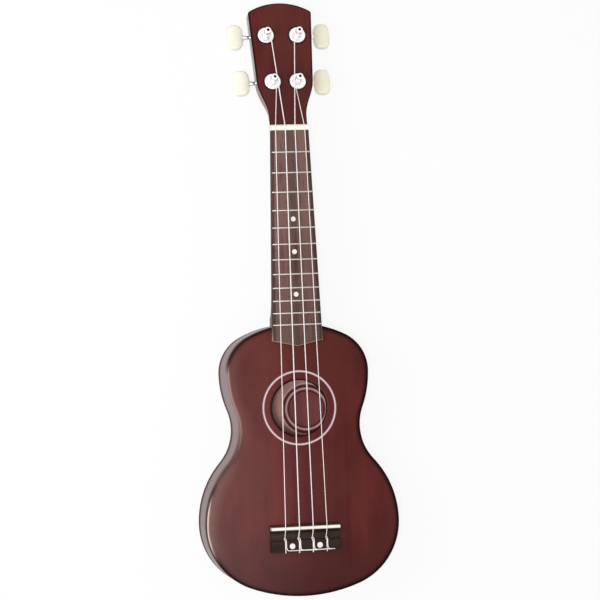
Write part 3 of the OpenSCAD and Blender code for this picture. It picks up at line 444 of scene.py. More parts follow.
STAIN = {"dark": tint(73, 18, 17), "light": tint(105, 37, 34), "pore": tint(50, 13, 13),
         "warm": tint(90, 37, 29)}
# The body's second dark tone darkens it toward the tail, and as painted shade toward the treble side.
# The pale tone of the bass edge is a painted highlight and sheen.
# The rim's dark tone is stain along the edges and painted shade where they turn from the light.
DARK_STAIN_AND_SHADE, TAIL_AND_SHADE_TONE, PAINTED_EDGE_HIGHLIGHT = tint(20, 5, 6), tint(52, 14, 14), tint(229, 199, 187)
SMOOTH = {"figure": (0.26, 0.16, 0.58), "pored": 0.22, "gloss": (0.34, 0.5), "rim": DARK_STAIN_AND_SHADE}
BODY_COAT = {"coat": 0.3, "rim_coat": -0.22, "Coat Roughness": 0.22, "Specular IOR Level": 0.04}
NECK_COAT = {"coat": 0.2, "rim_coat": -0.2, "Coat Roughness": 0.22, "Specular IOR Level": 0.08}
SIDE_COAT = {"coat": 0.33, "rim_coat": -0.33, "Coat Roughness": 0.2, "Specular IOR Level": 0.2}
HEAD_COAT = {"coat": 0.85, "rim_coat": -0.85, "Coat Roughness": 0.18, "Specular IOR Level": 0.3}
LOW_SHEEN, BUTTON_COAT, INLAY_COAT = {"Specular IOR Level": 0.1}, {"Coat Weight": 0.3}, {"Coat Weight": 0.2}
body_wood = wood("body_stain", shade=(body_shade, TAIL_AND_SHADE_TONE), worn=PAINTED_EDGE_HIGHLIGHT, dull=body_dull,
                 **STAIN, **SMOOTH, **BODY_COAT)
side_wood = wood("side_stain", bent=True, **STAIN, **SMOOTH, **SIDE_COAT)
# The head's darker tone includes a painted shadow round each ferrule.
neck_wood = wood("neck_stain", shade=(head_shade, DARK_STAIN_AND_SHADE), **STAIN, **SMOOTH, **NECK_COAT)
head_side_wood = wood("head_side_stain", **STAIN, **SMOOTH, **HEAD_COAT)
inner_wood = wood("raw_wood", tint(150, 108, 74), tint(188, 146, 106), tint(112, 76, 50), gloss=(0.65, 0.8),
                  fine=0.6, soft=0.0004)
inside_wood = wood("inside_face", tint(186, 138, 128), tint(218, 172, 161), tint(132, 86, 78),
                   gloss=(0.6, 0.75), **LOW_SHEEN)
board_wood = wood("board_rosewood", tint(72, 47, 42), tint(160, 114, 108), tint(40, 28, 26),
                  gloss=(0.45, 0.6), bump=0.2, rim=tint(196, 160, 146), fine=0.8, figure=(0.36, 0.4, 0.24),
                  pored=0.6, warm=tint(120, 95, 86), shade=(board_shade, tint(46, 35, 31)), **LOW_SHEEN)
bridge_wood = wood("bridge_rosewood", tint(24, 15, 12), tint(68, 50, 42), tint(12, 9, 9),
                   turn=(0, 0, QUARTER), gloss=(0.42, 0.58), bump=0.2, soft=0.0006, fine=0.8, **LOW_SHEEN)
chrome = metal("plated_steel", (0.9, 0.9, 0.91, 1), (0.76, 0.76, 0.78, 1), 0.16, 0.16)
satin = metal("satin_plate", (0.97, 0.97, 0.97, 1), (0.9, 0.9, 0.91, 1), 0.3, 0.14)
nickel = metal("fret_nickel", (0.56, 0.52, 0.5, 1), (0.42, 0.38, 0.36, 1), 0.26, 0.2)
# A dark metal that lines the posts' end holes as painted shade.
bore_shade_metal = metal("painted_bore_shade", (0.03, 0.028, 0.03, 1), (0.015, 0.014, 0.015, 1), 0.5, 0.2)
brass = metal("cut_brass", (0.78, 0.6, 0.28, 1), (0.55, 0.4, 0.17, 1), 0.24, 0.2)
bone = plastic("bone_white", tint(249, 247, 236), tint(241, 236, 217), 0.28)
ivory = plastic("button_ivory", tint(252, 251, 236), tint(247, 243, 220), 0.2, **BUTTON_COAT)
cream = plastic("button_cream", tint(255, 254, 231), tint(252, 246, 208), 0.2, **BUTTON_COAT)
pearl = plastic("pearl_inlay", tint(247, 242, 240), tint(222, 214, 218), 0.18, soft=0.0001, swirl=PEARL_SWIRL)
nylon = plastic("clear_nylon", tint(253, 245, 243), tint(245, 233, 231), 0.25, soft=0.0001)
glue = plastic("dark_glue", tint(40, 28, 26), tint(26, 18, 17), 0.5)
RING_EDGE, PAPER_LINE, RING_EDGE_OFF, RING_EDGE_W = tint(84, 40, 38), tint(240, 206, 201), 1.05, 0.75
ring_inlay = ringed("rosette_inlay", (0, HOLE_Y), tint(229, 201, 205), (
    (ROSETTE_R - RING_EDGE_OFF, RING_EDGE_W, RING_EDGE), (ROSETTE_R + RING_EDGE_OFF, RING_EDGE_W, RING_EDGE)),
    **INLAY_COAT)
paper = ringed("paper_disc", PAPER_AT, tint(142, 82, 81), (
    (16.4, 0.8, tint(84, 32, 32)), (18.7, 1.2, PAPER_LINE), (20.9, 1.6, tint(96, 44, 42)),
    (23.2, 1.0, PAPER_LINE)), **LOW_SHEEN)


# Tangent arcs of the body's right half, as centre, radius, first and last angle, and the way they bend.
# Only the waist bends inward.
shoulder_c = Vector((0, END_Y - SHOULDER_R))
upper_y = shoulder_c.y + leg(SHOULDER_R - UPPER_CORNER_R, UPPER_HALF - UPPER_CORNER_R)
upper_corner_c = Vector((UPPER_HALF - UPPER_CORNER_R, upper_y))
upper_flank_c = Vector((UPPER_HALF - UPPER_FLANK_R, upper_y))
tail_c = Vector((0, TAIL_R - END_Y))
lower_y = tail_c.y - leg(TAIL_R - LOWER_CORNER_R, LOWER_HALF - LOWER_CORNER_R)
lower_corner_c = Vector((LOWER_HALF - LOWER_CORNER_R, lower_y))
lower_flank_c = Vector((LOWER_HALF - LOWER_FLANK_R, lower_y))
flank_gap = (lower_flank_c - upper_flank_c).length
flank_way = (lower_flank_c - upper_flank_c) / flank_gap
flank_x = (flank_gap ** 2 + (UPPER_FLANK_R + WAIST_R) ** 2 - (LOWER_FLANK_R + WAIST_R) ** 2) / (2 * flank_gap)
waist_c = (upper_flank_c + flank_x * flank_way
           + leg(UPPER_FLANK_R + WAIST_R, flank_x) * Vector((-flank_way.y, flank_way.x)))
shoulder_a = heading(upper_corner_c - shoulder_c)
upper_a, lower_a = heading(waist_c - upper_flank_c), heading(waist_c - lower_flank_c)
tail_a = heading(lower_corner_c - tail_c)
BODY_ARCS = (
    (shoulder_c, SHOULDER_R, QUARTER, shoulder_a, 1), (upper_corner_c, UPPER_CORNER_R, shoulder_a, 0, 1),
    (upper_flank_c, UPPER_FLANK_R, 0, upper_a, 1),
    (waist_c, WAIST_R, upper_a + math.pi, lower_a + math.pi, -1),
    (lower_flank_c, LOWER_FLANK_R, lower_a, 0, 1), (lower_corner_c, LOWER_CORNER_R, 0, tail_a, 1),
    (tail_c, TAIL_R, tail_a, -QUARTER, 1))


def half_outline(inward):
    """Right half of the body's outline, from the neck end to the tail."""
    points = [Vector((0, END_Y - inward))]
    for centre, radius, first, last, way in BODY_ARCS:
        count = math.ceil(abs(last - first) / ARC_STEP)
        for k in range(1, count + 1):
            a = share(first, last, k / count)
            points.append(centre + (radius - way * inward) * Vector((math.cos(a), math.sin(a))))
    return points


def outline(inward, z):
    right = half_outline(inward)
    return [(p.x, p.y, z) for p in right] + [(-p.x, p.y, z) for p in right[-2:0:-1]]


def verts_of(edges):
    return list(dict.fromkeys(v for e in edges for v in e.verts))


def at_height(element, z):
    """Whether an edge or a face lies flat at a height."""
    return all(abs(v.co.z - z) < NEAR for v in element.verts)


def row(shape, points, closed=True):
    """Vertices joined in a row; gives its edges."""
    verts = [shape.verts.new(p) for p in points]
    return [shape.edges.new(pair) for pair in zip(verts, verts[1:] + verts[:1] if closed else verts[1:])]


def skin(shape, rows, capped=True):
    """Closed rows joined one to the next; gives the edges of each."""
    rings = [row(shape, points) for points in rows]
    for first, second in zip(rings, rings[1:]):
        bmesh.ops.bridge_loops(shape, edges=first + second)
    if capped:
        for ring in (rings[0], rings[-1]):
            bmesh.ops.holes_fill(shape, edges=ring, sides=0)
    return rings


def turned(shape, profile, steps, centre=(0, 0, 0), closed=False):
    """A profile of (radius, height) points spun round Z; a closed one makes a ring."""
    points = [Vector((r + centre[0], centre[1], h + centre[2])) for r, h in profile]
    edges = row(shape, points, closed)
    bmesh.ops.spin(shape, geom=edges + verts_of(edges), cent=centre, axis=(0, 0, 1), angle=2 * math.pi,
                   steps=steps, use_merge=True)
    on_axis = [v for v in shape.verts if (v.co.xy - Vector(centre[:2])).length < NEAR]
    bmesh.ops.remove_doubles(shape, verts=on_axis, dist=NEAR)


def ring_edges(shape, radius, z, centre):
    """Edges of a turned piece that lie on one circle."""
    def on(v):
        return abs((v.co.xy - Vector(centre)).length - radius) < RING_NEAR
    return [e for e in shape.edges if at_height(e, z) and on(e.verts[0]) and on(e.verts[1])]


def merge(shape, other, at):
    """Adds a drawn shape to another at a place."""
    bmesh.ops.transform(other, matrix=at, verts=other.verts)
    bmesh.ops.recalc_face_normals(other, faces=other.faces)
    holder = bpy.data.meshes.new("shape")
    other.to_mesh(holder)
    other.free()
    shape.from_mesh(holder)
    bpy.data.meshes.remove(holder)


def piece(name, shape, finishes, body, stands_for=(), crease=35.0):
    """Makes a drawn shape a piece of the instrument."""
    bmesh.ops.recalc_face_normals(shape, faces=shape.faces)
    bmesh.ops.scale(shape, vec=(0.001, 0.001, 0.001), verts=shape.verts)
    mesh = bpy.data.meshes.new(name)
    shape.to_mesh(mesh)
    shape.free()
    mesh.shade_smooth()
    mesh.set_sharp_from_angle(angle=math.radians(crease))
    for surface in finishes:
        mesh.materials.append(surface)
    made = bpy.data.objects.new(name, mesh)
    scene.collection.objects.link(made)
    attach(made, body)
    if stands_for:
        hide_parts(*stands_for)


# Camera, in metres, at the photograph's place: it looks down on the instrument, which lies on its back.
VIEW_AT = (-0.3599, 0.0993, 2.0226)
VIEW_BACK, VIEW_RIGHT = (-0.18184, -0.02127, 0.98310), (0.98275, -0.03822, 0.18095)
VIEW_SENSOR, VIEW_LENS, VIEW_FAR = 36.0, 134.91, 20.0


def make_view():
    lens = bpy.data.cameras.new("view")
    lens.sensor_width, lens.lens, lens.clip_end = VIEW_SENSOR, VIEW_LENS, VIEW_FAR
    viewer = bpy.data.objects.new("view", lens)
    back_way, right_way = Vector(VIEW_BACK).normalized(), Vector(VIEW_RIGHT)
    right_way = (right_way - right_way.dot(back_way) * back_way).normalized()
    turn = Matrix((right_way, back_way.cross(right_way), back_way)).transposed()
    viewer.matrix_world = Matrix.Translation(VIEW_AT) @ turn.to_4x4()
    scene.collection.objects.link(viewer)
    scene.camera = viewer


make_view()

# Rings of a plate's edge: the first eight go round it, the next ones lie on the face inside it.
EDGE_RINGS, FACE_INSETS = ROUND_STEPS + 2, (1.2, 3.5, 7.0, 11.5)
# Dark stain and painted shade on the bass and the treble side, round the edge and on the first ring of the
# face, and painted shade at the lip
RIM_DARK, RIM_FADE, LIP_DARK, LIP_NEAR = (0.8, 0.96), (0.25, 0.5), 0.85, 0.01
# How the stain and its painted shade go over from the bass to the treble side
RIM_TURN, RIM_SHIFT = 60.0, 0.4
# Shares of painted highlight on each ring of the bass edge: along the flank, on the highlight line, and as a
# painted sheen inside them
HIGHLIGHT_SHARES = [(0.2, 0.0, 0.0)] * 4 + [(0.27, 0.8, 0.0)] * 3 + [
    (0.16, 0.2, 0.1), (0.03, 0.07, 0.09), (0.0, 0.0, 0.065), (0.0, 0.0, 0.03), (0.0, 0.0, 0.0)]
# Stretches of the bass edge's painted highlight and sheen: low and high end along the body, and how far each
# fades
FLANK_HIGHLIGHT, LOWER_GLOW, UPPER_GLOW = (-30, 92, 16, 16), (-92, 15, 25, 40), (0, 105, 30, 20)
FLANK_LEAST, FLANK_RISE, UPPER_SHARE = 0.4, 50, 0.5
# How the painted highlight line ends to both sides of the lower bout
LINE_FULL, LINE_FADE = 1.5, 24


def shade_rim(rings, rim):
    """Dark stain along the edge, thinning out inward, partly painted shade of the eased edge turned from the
    light; heavier on the treble side, where it is painted shade.
    """
    for k, ring in enumerate(rings):
        bass, treble = RIM_DARK if k < EDGE_RINGS else RIM_FADE if k == EDGE_RINGS else (0.0, 0.0)
        for v in verts_of(ring):
            v[rim] = share(bass, treble, smooth(v.co.x / RIM_TURN + RIM_SHIFT))


def stretch(y, low, high, low_fade, high_fade):
    """1 on a stretch of the body's length, falling to 0 at its ends."""
    return smooth((y - low) / low_fade) * smooth((high - y) / high_fade)


def painted_flank_highlight(y):
    """How much painted highlight the bass edge takes: from the shoulder past the waist, most at the upper
    bout.
    """
    return stretch(y, *FLANK_HIGHLIGHT) * share(FLANK_LEAST, 1.0, smooth(y / FLANK_RISE))


def paint_edge_highlight(rings, rim, worn):
    """Painted highlight on the bass edge, which faces the light: soft along the flank, a light line at the
    lower bout and a painted sheen inside it; the dark rim gives way to it.
    """
    for k, ring in enumerate(rings):
        for v in verts_of(ring):
            if v.co.x >= 0:
                continue
            y = v.co.y
            line = smooth(LINE_FULL - abs(y - lower_y) / LINE_FADE)
            glow = max(stretch(y, *LOWER_GLOW), UPPER_SHARE * stretch(y, *UPPER_GLOW))
            flank = painted_flank_highlight(y)
            v[worn] = max(a * b for a, b in zip((flank, line, glow), HIGHLIGHT_SHARES[k]))
            v[rim] *= 1 - max(flank, line if HIGHLIGHT_SHARES[k][1] else 0.0)


def make_soundboard():
    shape = bmesh.new()
    rim, worn = shape.verts.layers.float.new("rim"), shape.verts.layers.float.new("worn")
    under = BODY_H - TOP_T
    rows = [outline(0, under)]
    rows += [outline(EDGE_R * (1 - math.cos(a)), BODY_H - EDGE_R + EDGE_R * math.sin(a))
             for a in quarter(ROUND_STEPS)]
    rows += [outline(EDGE_R + inset, BODY_H) for inset in FACE_INSETS]
    rings = skin(shape, rows, capped=False)
    groove_in, groove_out = ROSETTE_R - ROSETTE_W / 2, ROSETTE_R + ROSETTE_W / 2
    groove = [(groove_out + GROOVE_RIM, BODY_H), (groove_out, BODY_H), (groove_out, BODY_H - ROSETTE_T),
              (groove_in, BODY_H - ROSETTE_T), (groove_in, BODY_H)]
    lip = [(HOLE_R + LIP_R + LIP_SHADE_W, BODY_H)]
    lip += [(HOLE_R + LIP_R - LIP_R * math.sin(a), BODY_H - LIP_R + LIP_R * math.cos(a))
            for a in quarter(ROUND_STEPS)]
    turned(shape, groove + lip + [(HOLE_R, under)], HOLE_STEPS, (0, HOLE_Y, 0))
    for ring, radius, z in ((rings[-1], groove_out + GROOVE_RIM, BODY_H), (rings[0], HOLE_R, under)):
        circle = ring_edges(shape, radius, z, (0, HOLE_Y))
        bmesh.ops.triangle_fill(shape, edges=ring + circle, use_beauty=True)
    shade_rim(rings, rim)
    paint_edge_highlight(rings, rim, worn)
    # Painted shade at the hole's lip, reaching across the face on the bass side, where the shadow falls.
    for v in shape.verts:
        from_hole = (v.co.xy - Vector((0, HOLE_Y))).length - HOLE_R
        if from_hole < LIP_R + LIP_NEAR and v.co.z > under + LIP_NEAR:
            v[rim] = LIP_DARK * (1.0 if from_hole < LIP_R - LIP_NEAR else smooth(0.5 - v.co.x / HOLE_R))
    for face in shape.faces:
        face.material_index = 1 if at_height(face, under) else 0
    piece("soundboard_plate", shape, (body_wood, inside_wood), "instrument", ["soundboard"])


def make_back():
    shape = bmesh.new()
    rim = shape.verts.layers.float.new("rim")
    rows = [outline(0, BACK_T)]
    rows += [outline(EDGE_R * (1 - math.cos(a)), EDGE_R * (1 - math.sin(a))) for a in quarter(ROUND_STEPS)]
    rows += [outline(EDGE_R + inset, 0) for inset in FACE_INSETS[:2]]
    rings = skin(shape, rows, capped=False)
    for ring in (rings[0], rings[-1]):
        bmesh.ops.triangle_fill(shape, edges=ring, use_beauty=True)
    shade_rim(rings, rim)
    for face in shape.faces:
        face.material_index = 1 if at_height(face, BACK_T) else 0
    piece("back_plate", shape, (body_wood, inside_wood), "instrument", ["back"])


# Darker bands along the sides' lower and upper edges, how far they reach in full, and where they have ended
SIDE_DARK, LOW_DARK_H, LOW_CLEAR_H, HIGH_DARK_H, HIGH_CLEAR_H = 0.75, 7.0, 13.0, 5.5, 11.0


def make_side(name, hand):
    shape = bmesh.new()
    run, rim = shape.verts.layers.float.new("run"), shape.verts.layers.float.new("rim")
    inside = shape.verts.layers.int.new("inside")
    low, high = BACK_T, BODY_H - TOP_T
    low_clear, high_clear = low + LOW_CLEAR_H, high - HIGH_CLEAR_H
    levels = (low, low + LOW_DARK_H, low_clear, high_clear, high - HIGH_DARK_H, high)
    outer, inner = half_outline(0), half_outline(SIDE_T)
    rows = [[(hand * o.x, o.y, z) for z in levels] + [(hand * i.x, i.y, high), (hand * i.x, i.y, low)]
            for o, i in zip(outer, inner)]
    rings = skin(shape, rows)
    length = 0.0
    for k, ring in enumerate(rings):
        length += (outer[k] - outer[k - 1]).length / 1000 if k else 0.0
        for v in verts_of(ring):
            upper = v.co.z > high_clear + NEAR
            v[run] = length * hand
            v[rim] = SIDE_DARK if upper or v.co.z < low_clear - NEAR else 0.0
            # The dark edge gives way to the painted highlight of the bass flank.
            if hand < 0 and upper:
                v[rim] *= 1 - painted_flank_highlight(v.co.y)
            v[inside] = (Vector((hand * v.co.x, v.co.y)) - outer[k]).length > SIDE_T / 2
    for face in shape.faces:
        face.material_index = 1 if all(v[inside] for v in face.verts) else 0
    piece(name + "_bent", shape, (side_wood, inside_wood), "instrument", [name], crease=30)


make_soundboard()
make_back()
make_side("side_bass", -1)
make_side("side_treble", 1)


def board_half(y):
    return share(NECK_W12, NUT_W, (y - FRET_12) / (NUT_Y - FRET_12)) / 2


def head_half(v):
    t = min(max((v - FLARE_START) / (FLARE_END - FLARE_START), 0), 1)
    line = share(HEAD_BASE_W, HEAD_TIP_W, v / HEAD_L) / 2
    return share(NUT_W / 2, line, (1 - math.cos(math.pi * t)) / 2)


# The head's tip: one wide arc, joined to the slanting sides by a small one at each corner.
tip_y = HEAD_L - TIP_R
side_slope = (HEAD_TIP_W - HEAD_BASE_W) / 2 / HEAD_L
side_l, side_a = math.hypot(1, side_slope), -math.atan(side_slope)
corner_x = HEAD_BASE_W / 2 - TIP_CORNER_R * side_l
corner_b = corner_x * side_slope - tip_y
corner_k = corner_x ** 2 + tip_y ** 2 - (TIP_R - TIP_CORNER_R) ** 2
corner_y = (-corner_b + math.sqrt(corner_b ** 2 - side_l ** 2 * corner_k)) / side_l ** 2
tip_corner = Vector((corner_x + side_slope * corner_y, corner_y))
corner_a = math.atan2(tip_corner.y - tip_y, tip_corner.x)


def shares(steps):
    return [k / steps for k in range(1, steps + 1)]


def head_edge():
    """Half width, place and sideways part of the edge's normal, for each section of the head."""
    start = tip_corner.y + TIP_CORNER_R * math.sin(side_a)
    places = [FLARE_STEP * n for n in range(1, round(FLARE_END / FLARE_STEP) + 1)]
    places += [share(FLARE_END, start, t) for t in shares(SIDE_STEPS)]
    edge = [(head_half(v), v, 1.0) for v in places]
    for a in (share(side_a, corner_a, t) for t in shares(CORNER_STEPS)):
        edge.append((tip_corner.x + TIP_CORNER_R * math.cos(a), tip_corner.y + TIP_CORNER_R * math.sin(a),
                     math.cos(a)))
    for a in (share(corner_a, TIP_END, t) for t in shares(TIP_STEPS)):
        edge.append((TIP_R * math.cos(a), tip_y + TIP_R * math.sin(a), math.cos(a)))
    return edge


def inside_head(x, v):
    """How far a point of the head's face lies inside its outline."""
    off = Vector((x, v)) - tip_corner
    if side_a < heading(off) < corner_a:
        return TIP_CORNER_R - off.length
    return min(TIP_R - math.hypot(x, v - tip_y), (head_half(v) - x) * math.cos(side_a))


def drop(depth, radius):
    """How far an edge eased to a radius lies below its face."""
    left = radius - min(max(depth, 0.0), radius)
    return radius - math.sqrt(radius ** 2 - left ** 2)


def both_halves(right):
    return right + [(-x, z) for x, z in reversed(right)]


def head_section(w, v, sideways):
    """Section of the flat head; its edges are eased all round, the tip's too."""
    most = w * EASE_MOST
    over, under = (min(r / max(sideways, LEAST_SIDEWAYS), most) for r in (FACE_EASE, BACK_EASE))
    face = [w - min(2 * over, most)] + [w - over + over * math.cos(a) for a in quarter(FACE_STEPS)[-2::-1]]
    back = [w - under + under * math.cos(a) for a in quarter(BACK_STEPS)]
    right = [(x, -drop(inside_head(x, v), FACE_EASE)) for x in face]
    right.append((w, -FACE_EASE - EDGE_WALL))
    right += [(x, drop(inside_head(x, v), BACK_EASE) - HEAD_T) for x in back]
    return both_halves(right)


def neck_section(w, t, flat=NECK_FLAT, rounded=NECK_ROUND, edge=NECK_EASE):
    """Half-moon section of the neck that turns into the head's flat one; its upper edges are eased."""
    right = [(w - edge + edge * math.cos(a), -edge + edge * math.sin(a))
             for a in reversed(quarter(FACE_STEPS))]
    right.append((w, -min(edge + EDGE_WALL, (edge + max(t * (1 - rounded), edge)) / 2)))
    for a in quarter(BACK_STEPS):
        depth = t * (1 - rounded + rounded * math.sin(a))
        right.append((w * (flat + (1 - flat) * math.cos(a)), -max(depth, edge)))
    return both_halves(right)


def section_ring(y, z, tilt, section):
    return [(x, y + h * math.sin(tilt), z + h * math.cos(tilt)) for x, h in section]


# Heights of the painted shade round the eased edge of the head's face, and the height below which its edge
# takes the side's finish
HEAD_RIM, HEAD_RIM_DARK, HEAD_SIDE_TOP = (-1.2, -0.06), 0.9, -1.0


def neck_rows():
    """Sections from the heel along the neck to the head's tip."""
    heel_r = HEEL_H - HEEL_NECK_T
    heel_y = END_Y + HEEL_FOOT + heel_r
    places = [(NECK_START, HEEL_H)]
    places += [(heel_y - heel_r * math.cos(a), HEEL_H - heel_r * math.sin(a)) for a in quarter(HEEL_STEPS)]
    places += [(share(heel_y, NUT_Y, t), share(HEEL_NECK_T, NECK_T, t)) for t in shares(NECK_STEPS)]
    rows = [section_ring(y, BODY_H, 0, neck_section(board_half(y), t)) for y, t in places]
    rows.append(section_ring(HEAD_Y, BODY_H, HEAD_TILT / 2, neck_section(NUT_W / 2, NECK_T)))
    for w, v, sideways in head_edge():
        k = smooth(v / BACK_BLEND)
        if v > FLARE_END:
            section = head_section(w, v, sideways)
        else:
            section = neck_section(w, share(NECK_T, HEAD_T, k), share(NECK_FLAT, 1 - BACK_EASE / w, k),
                                   share(NECK_ROUND, BACK_EASE / HEAD_T, k), share(NECK_EASE, FACE_EASE, k))
        p = head_point(0, v, 0)
        rows.append(section_ring(p.y, p.z, HEAD_TILT, section))
    return rows


def make_neck():
    shape = bmesh.new()
    rim = shape.verts.layers.float.new("rim")
    rings = skin(shape, neck_rows(), capped=False)
    bmesh.ops.holes_fill(shape, edges=rings[0], sides=0)
    bmesh.ops.remove_doubles(shape, verts=verts_of(rings[-1]), dist=TIP_MERGE)
    # Painted shade along the eased edge of the head's face, growing in from the nut.
    for v in shape.verts:
        p = to_head(v.co)
        v[rim] = HEAD_RIM_DARK * smooth(p.y / BACK_BLEND) if HEAD_RIM[0] < p.z < HEAD_RIM[1] else 0.0
    shape.normal_update()
    for face in shape.faces:
        p = to_head(face.calc_center_median())
        on_side = p.y > FLARE_START and -HEAD_T < p.z < HEAD_SIDE_TOP and abs(face.normal.z) < 0.5
        face.material_index = 1 if on_side else 0
    piece("neck_and_head", shape, (neck_wood, head_side_wood), "instrument", ["neck"], crease=40)


make_neck()

# Pale edge of the fretboard where it runs over the body
BOARD_RIM, BOARD_RIM_DROP, BOARD_RIM_START = 0.8, 0.02, FRET_12 - 2


def make_fretboard():
    shape = bmesh.new()
    right = [(board_half(y), y) for y in (NUT_Y, FRET_12, BOARD_END)]
    corners = [(-x, y) for x, y in right] + [(0, BOARD_END - BOARD_POINT)] + right[::-1]
    base = row(shape, [(x, y, BODY_H) for x, y in corners])
    bmesh.ops.holes_fill(shape, edges=base, sides=0)
    up = bmesh.ops.extrude_face_region(shape, geom=list(shape.faces))["geom"]
    raised = [v for v in up if isinstance(v, bmesh.types.BMVert)]
    bmesh.ops.translate(shape, vec=(0, 0, BOARD_T), verts=raised)
    top = BODY_H + BOARD_T
    edges = [e for e in shape.edges if at_height(e, top)
             and not all(abs(v.co.y - NUT_Y) < NEAR for v in e.verts)]
    bmesh.ops.bevel(shape, geom=edges, offset=BOARD_EASE, offset_type="OFFSET", affect="EDGES", segments=3,
                    profile=0.5, material=-1)
    rim = shape.verts.layers.float.new("rim")
    for v in shape.verts:
        v[rim] = BOARD_RIM if v.co.z < top - BOARD_RIM_DROP and v.co.y < BOARD_RIM_START else 0.0
    piece("fretboard_plank", shape, (board_wood,), "instrument", ["fretboard"], crease=50)


def fret_y(n):
    return NUT_Y - SCALE_L * (1 - 2 ** (-n / 12))


def make_frets():
    shape = bmesh.new()
    for y in (fret_y(n) for n in range(1, 13)):
        half = board_half(y) - FRET_INSET
        ends = [(-half + x, size) for x, size in FRET_END]
        ends += [(half - x, size) for x, size in reversed(FRET_END)]
        arc = [math.pi * k / FRET_STEPS for k in range(FRET_STEPS + 1)]
        skin(shape, [[(x, y + FRET_HALF * size * math.cos(a), BODY_H + BOARD_T + FRET_H * size * math.sin(a))
                      for a in arc] for x, size in ends])
    piece("fret_wires", shape, (nickel,), "instrument", ["frets"], crease=45)


def make_dots():
    """Pearl dots in the fretboard, slightly domed, each in a dark ring of glue."""
    shape = bmesh.new()
    r = DOT_R
    dome = [(0, -0.3), (r, -0.3), (r, 0.03), (r - 0.25, 0.08), (r / 2, 0.12), (0, 0.13)]
    ring = [(r - 0.05, -0.2), (r + 0.3, -0.2), (r + 0.3, 0.015), (r - 0.05, 0.025)]
    for n in DOT_FRETS:
        middle = (0, (fret_y(n) + fret_y(n - 1)) / 2, BODY_H + BOARD_T)
        turned(shape, dome, DOT_STEPS, middle)
        before = set(shape.faces)
        turned(shape, ring, DOT_STEPS, middle, closed=True)
        for face in set(shape.faces) - before:
            face.material_index = 1
    piece("fret_dots", shape, (pearl, glue), "instrument", ["position_dots"])


make_fretboard()
make_frets()
make_dots()


def at_tuner(string):
    """Turns a tuner's own frame, behind the head at its post, into the instrument's."""
    return (Matrix.Translation((0, HEAD_Y, BODY_H)) @ Matrix.Rotation(-HEAD_TILT, 4, "X")
            @ Matrix.Translation((HAND[string] * POST_X[string], POST_V[string], -HEAD_T))
            @ Matrix.Diagonal((HAND[string], 1, 1, 1)))


def bent_by(x, power):
    return math.copysign(abs(x) ** power, x)


def button_ring(size, lift):
    """Oval round a button, narrower toward the head; lift turns the bulge of its face into a height."""
    points = []
    for a in (2 * math.pi * k / BUTTON_STEPS for k in range(BUTTON_STEPS)):
        x = BUTTON_L / 2 * bent_by(math.cos(a), BUTTON_OVAL[0]) * size
        narrow = 1 - BUTTON_TAPER + BUTTON_TAPER * math.cos(a)
        y = BUTTON_W / 2 * bent_by(math.sin(a), BUTTON_OVAL[1]) * narrow * size
        bulge = BUTTON_T / 2 - BUTTON_FACE_R + leg(BUTTON_FACE_R, x)
        points.append((BUTTON_FROM_POST + BUTTON_L / 2 + x, WORM_Y + y, lift(bulge) - WORM_DEPTH))
    return points


def make_button(string):
    """Oval key with bulged faces and soft edges."""
    upper = []
    for a in quarter(BUTTON_EASE_STEPS):
        size = 1 - BUTTON_EASE * (1 - math.cos(a)) / BUTTON_MEAN_R
        upper.append((size, lambda z, a=a: z - BUTTON_EASE + BUTTON_EASE * math.sin(a)))
    upper += [(size, lambda z: z) for size in BUTTON_FACE_SIZES]
    rows = [button_ring(size, lambda z, lift=lift: -lift(z)) for size, lift in reversed(upper)]
    rows += [button_ring(size, lift) for size, lift in upper]
    shape = bmesh.new()
    skin(shape, rows)
    bmesh.ops.transform(shape, matrix=at_tuner(string), verts=shape.verts)
    piece("button_key_" + string, shape, (ivory if HAND[string] < 0 else cream,),
          "tuner_key_" + string, ["button_" + string], crease=60)


for string in STRINGS:
    make_button(string)


def cut_screw(shape, at, shank_r, shank_l):
    """Domed screw head with a slot, its shank along +Z of the given place."""
    dome_r, floor, lip_base = SCREW_HEAD_R - DOME_INSET, -SLOT_FLOOR, SLOT_OVERLAP - SLOT_FLOOR
    dome = [(dome_r * math.sin(a), floor - (SCREW_HEAD_T - SLOT_FLOOR) * math.cos(a))
            for a in quarter(ROUND_STEPS)]
    for side in (-1, 1):
        lip = bmesh.new()
        turned(lip, dome + [(dome_r, lip_base), (0, lip_base)], SCREW_STEPS)
        cut = bmesh.ops.bisect_plane(lip, geom=lip.verts[:] + lip.edges[:] + lip.faces[:], clear_inner=True,
                                     plane_co=(side * SLOT_HALF, 0, 0), plane_no=(side, 0, 0))
        rim = [e for e in cut["geom_cut"] if isinstance(e, bmesh.types.BMEdge)]
        bmesh.ops.holes_fill(lip, edges=rim, sides=0)
        merge(shape, lip, at)
    base = bmesh.new()
    turned(base, [(0, floor), (SCREW_HEAD_R, floor), (SCREW_HEAD_R, 0), (shank_r, 0), (shank_r, shank_l),
                  (0, shank_l)], SCREW_STEPS)
    merge(shape, base, at)


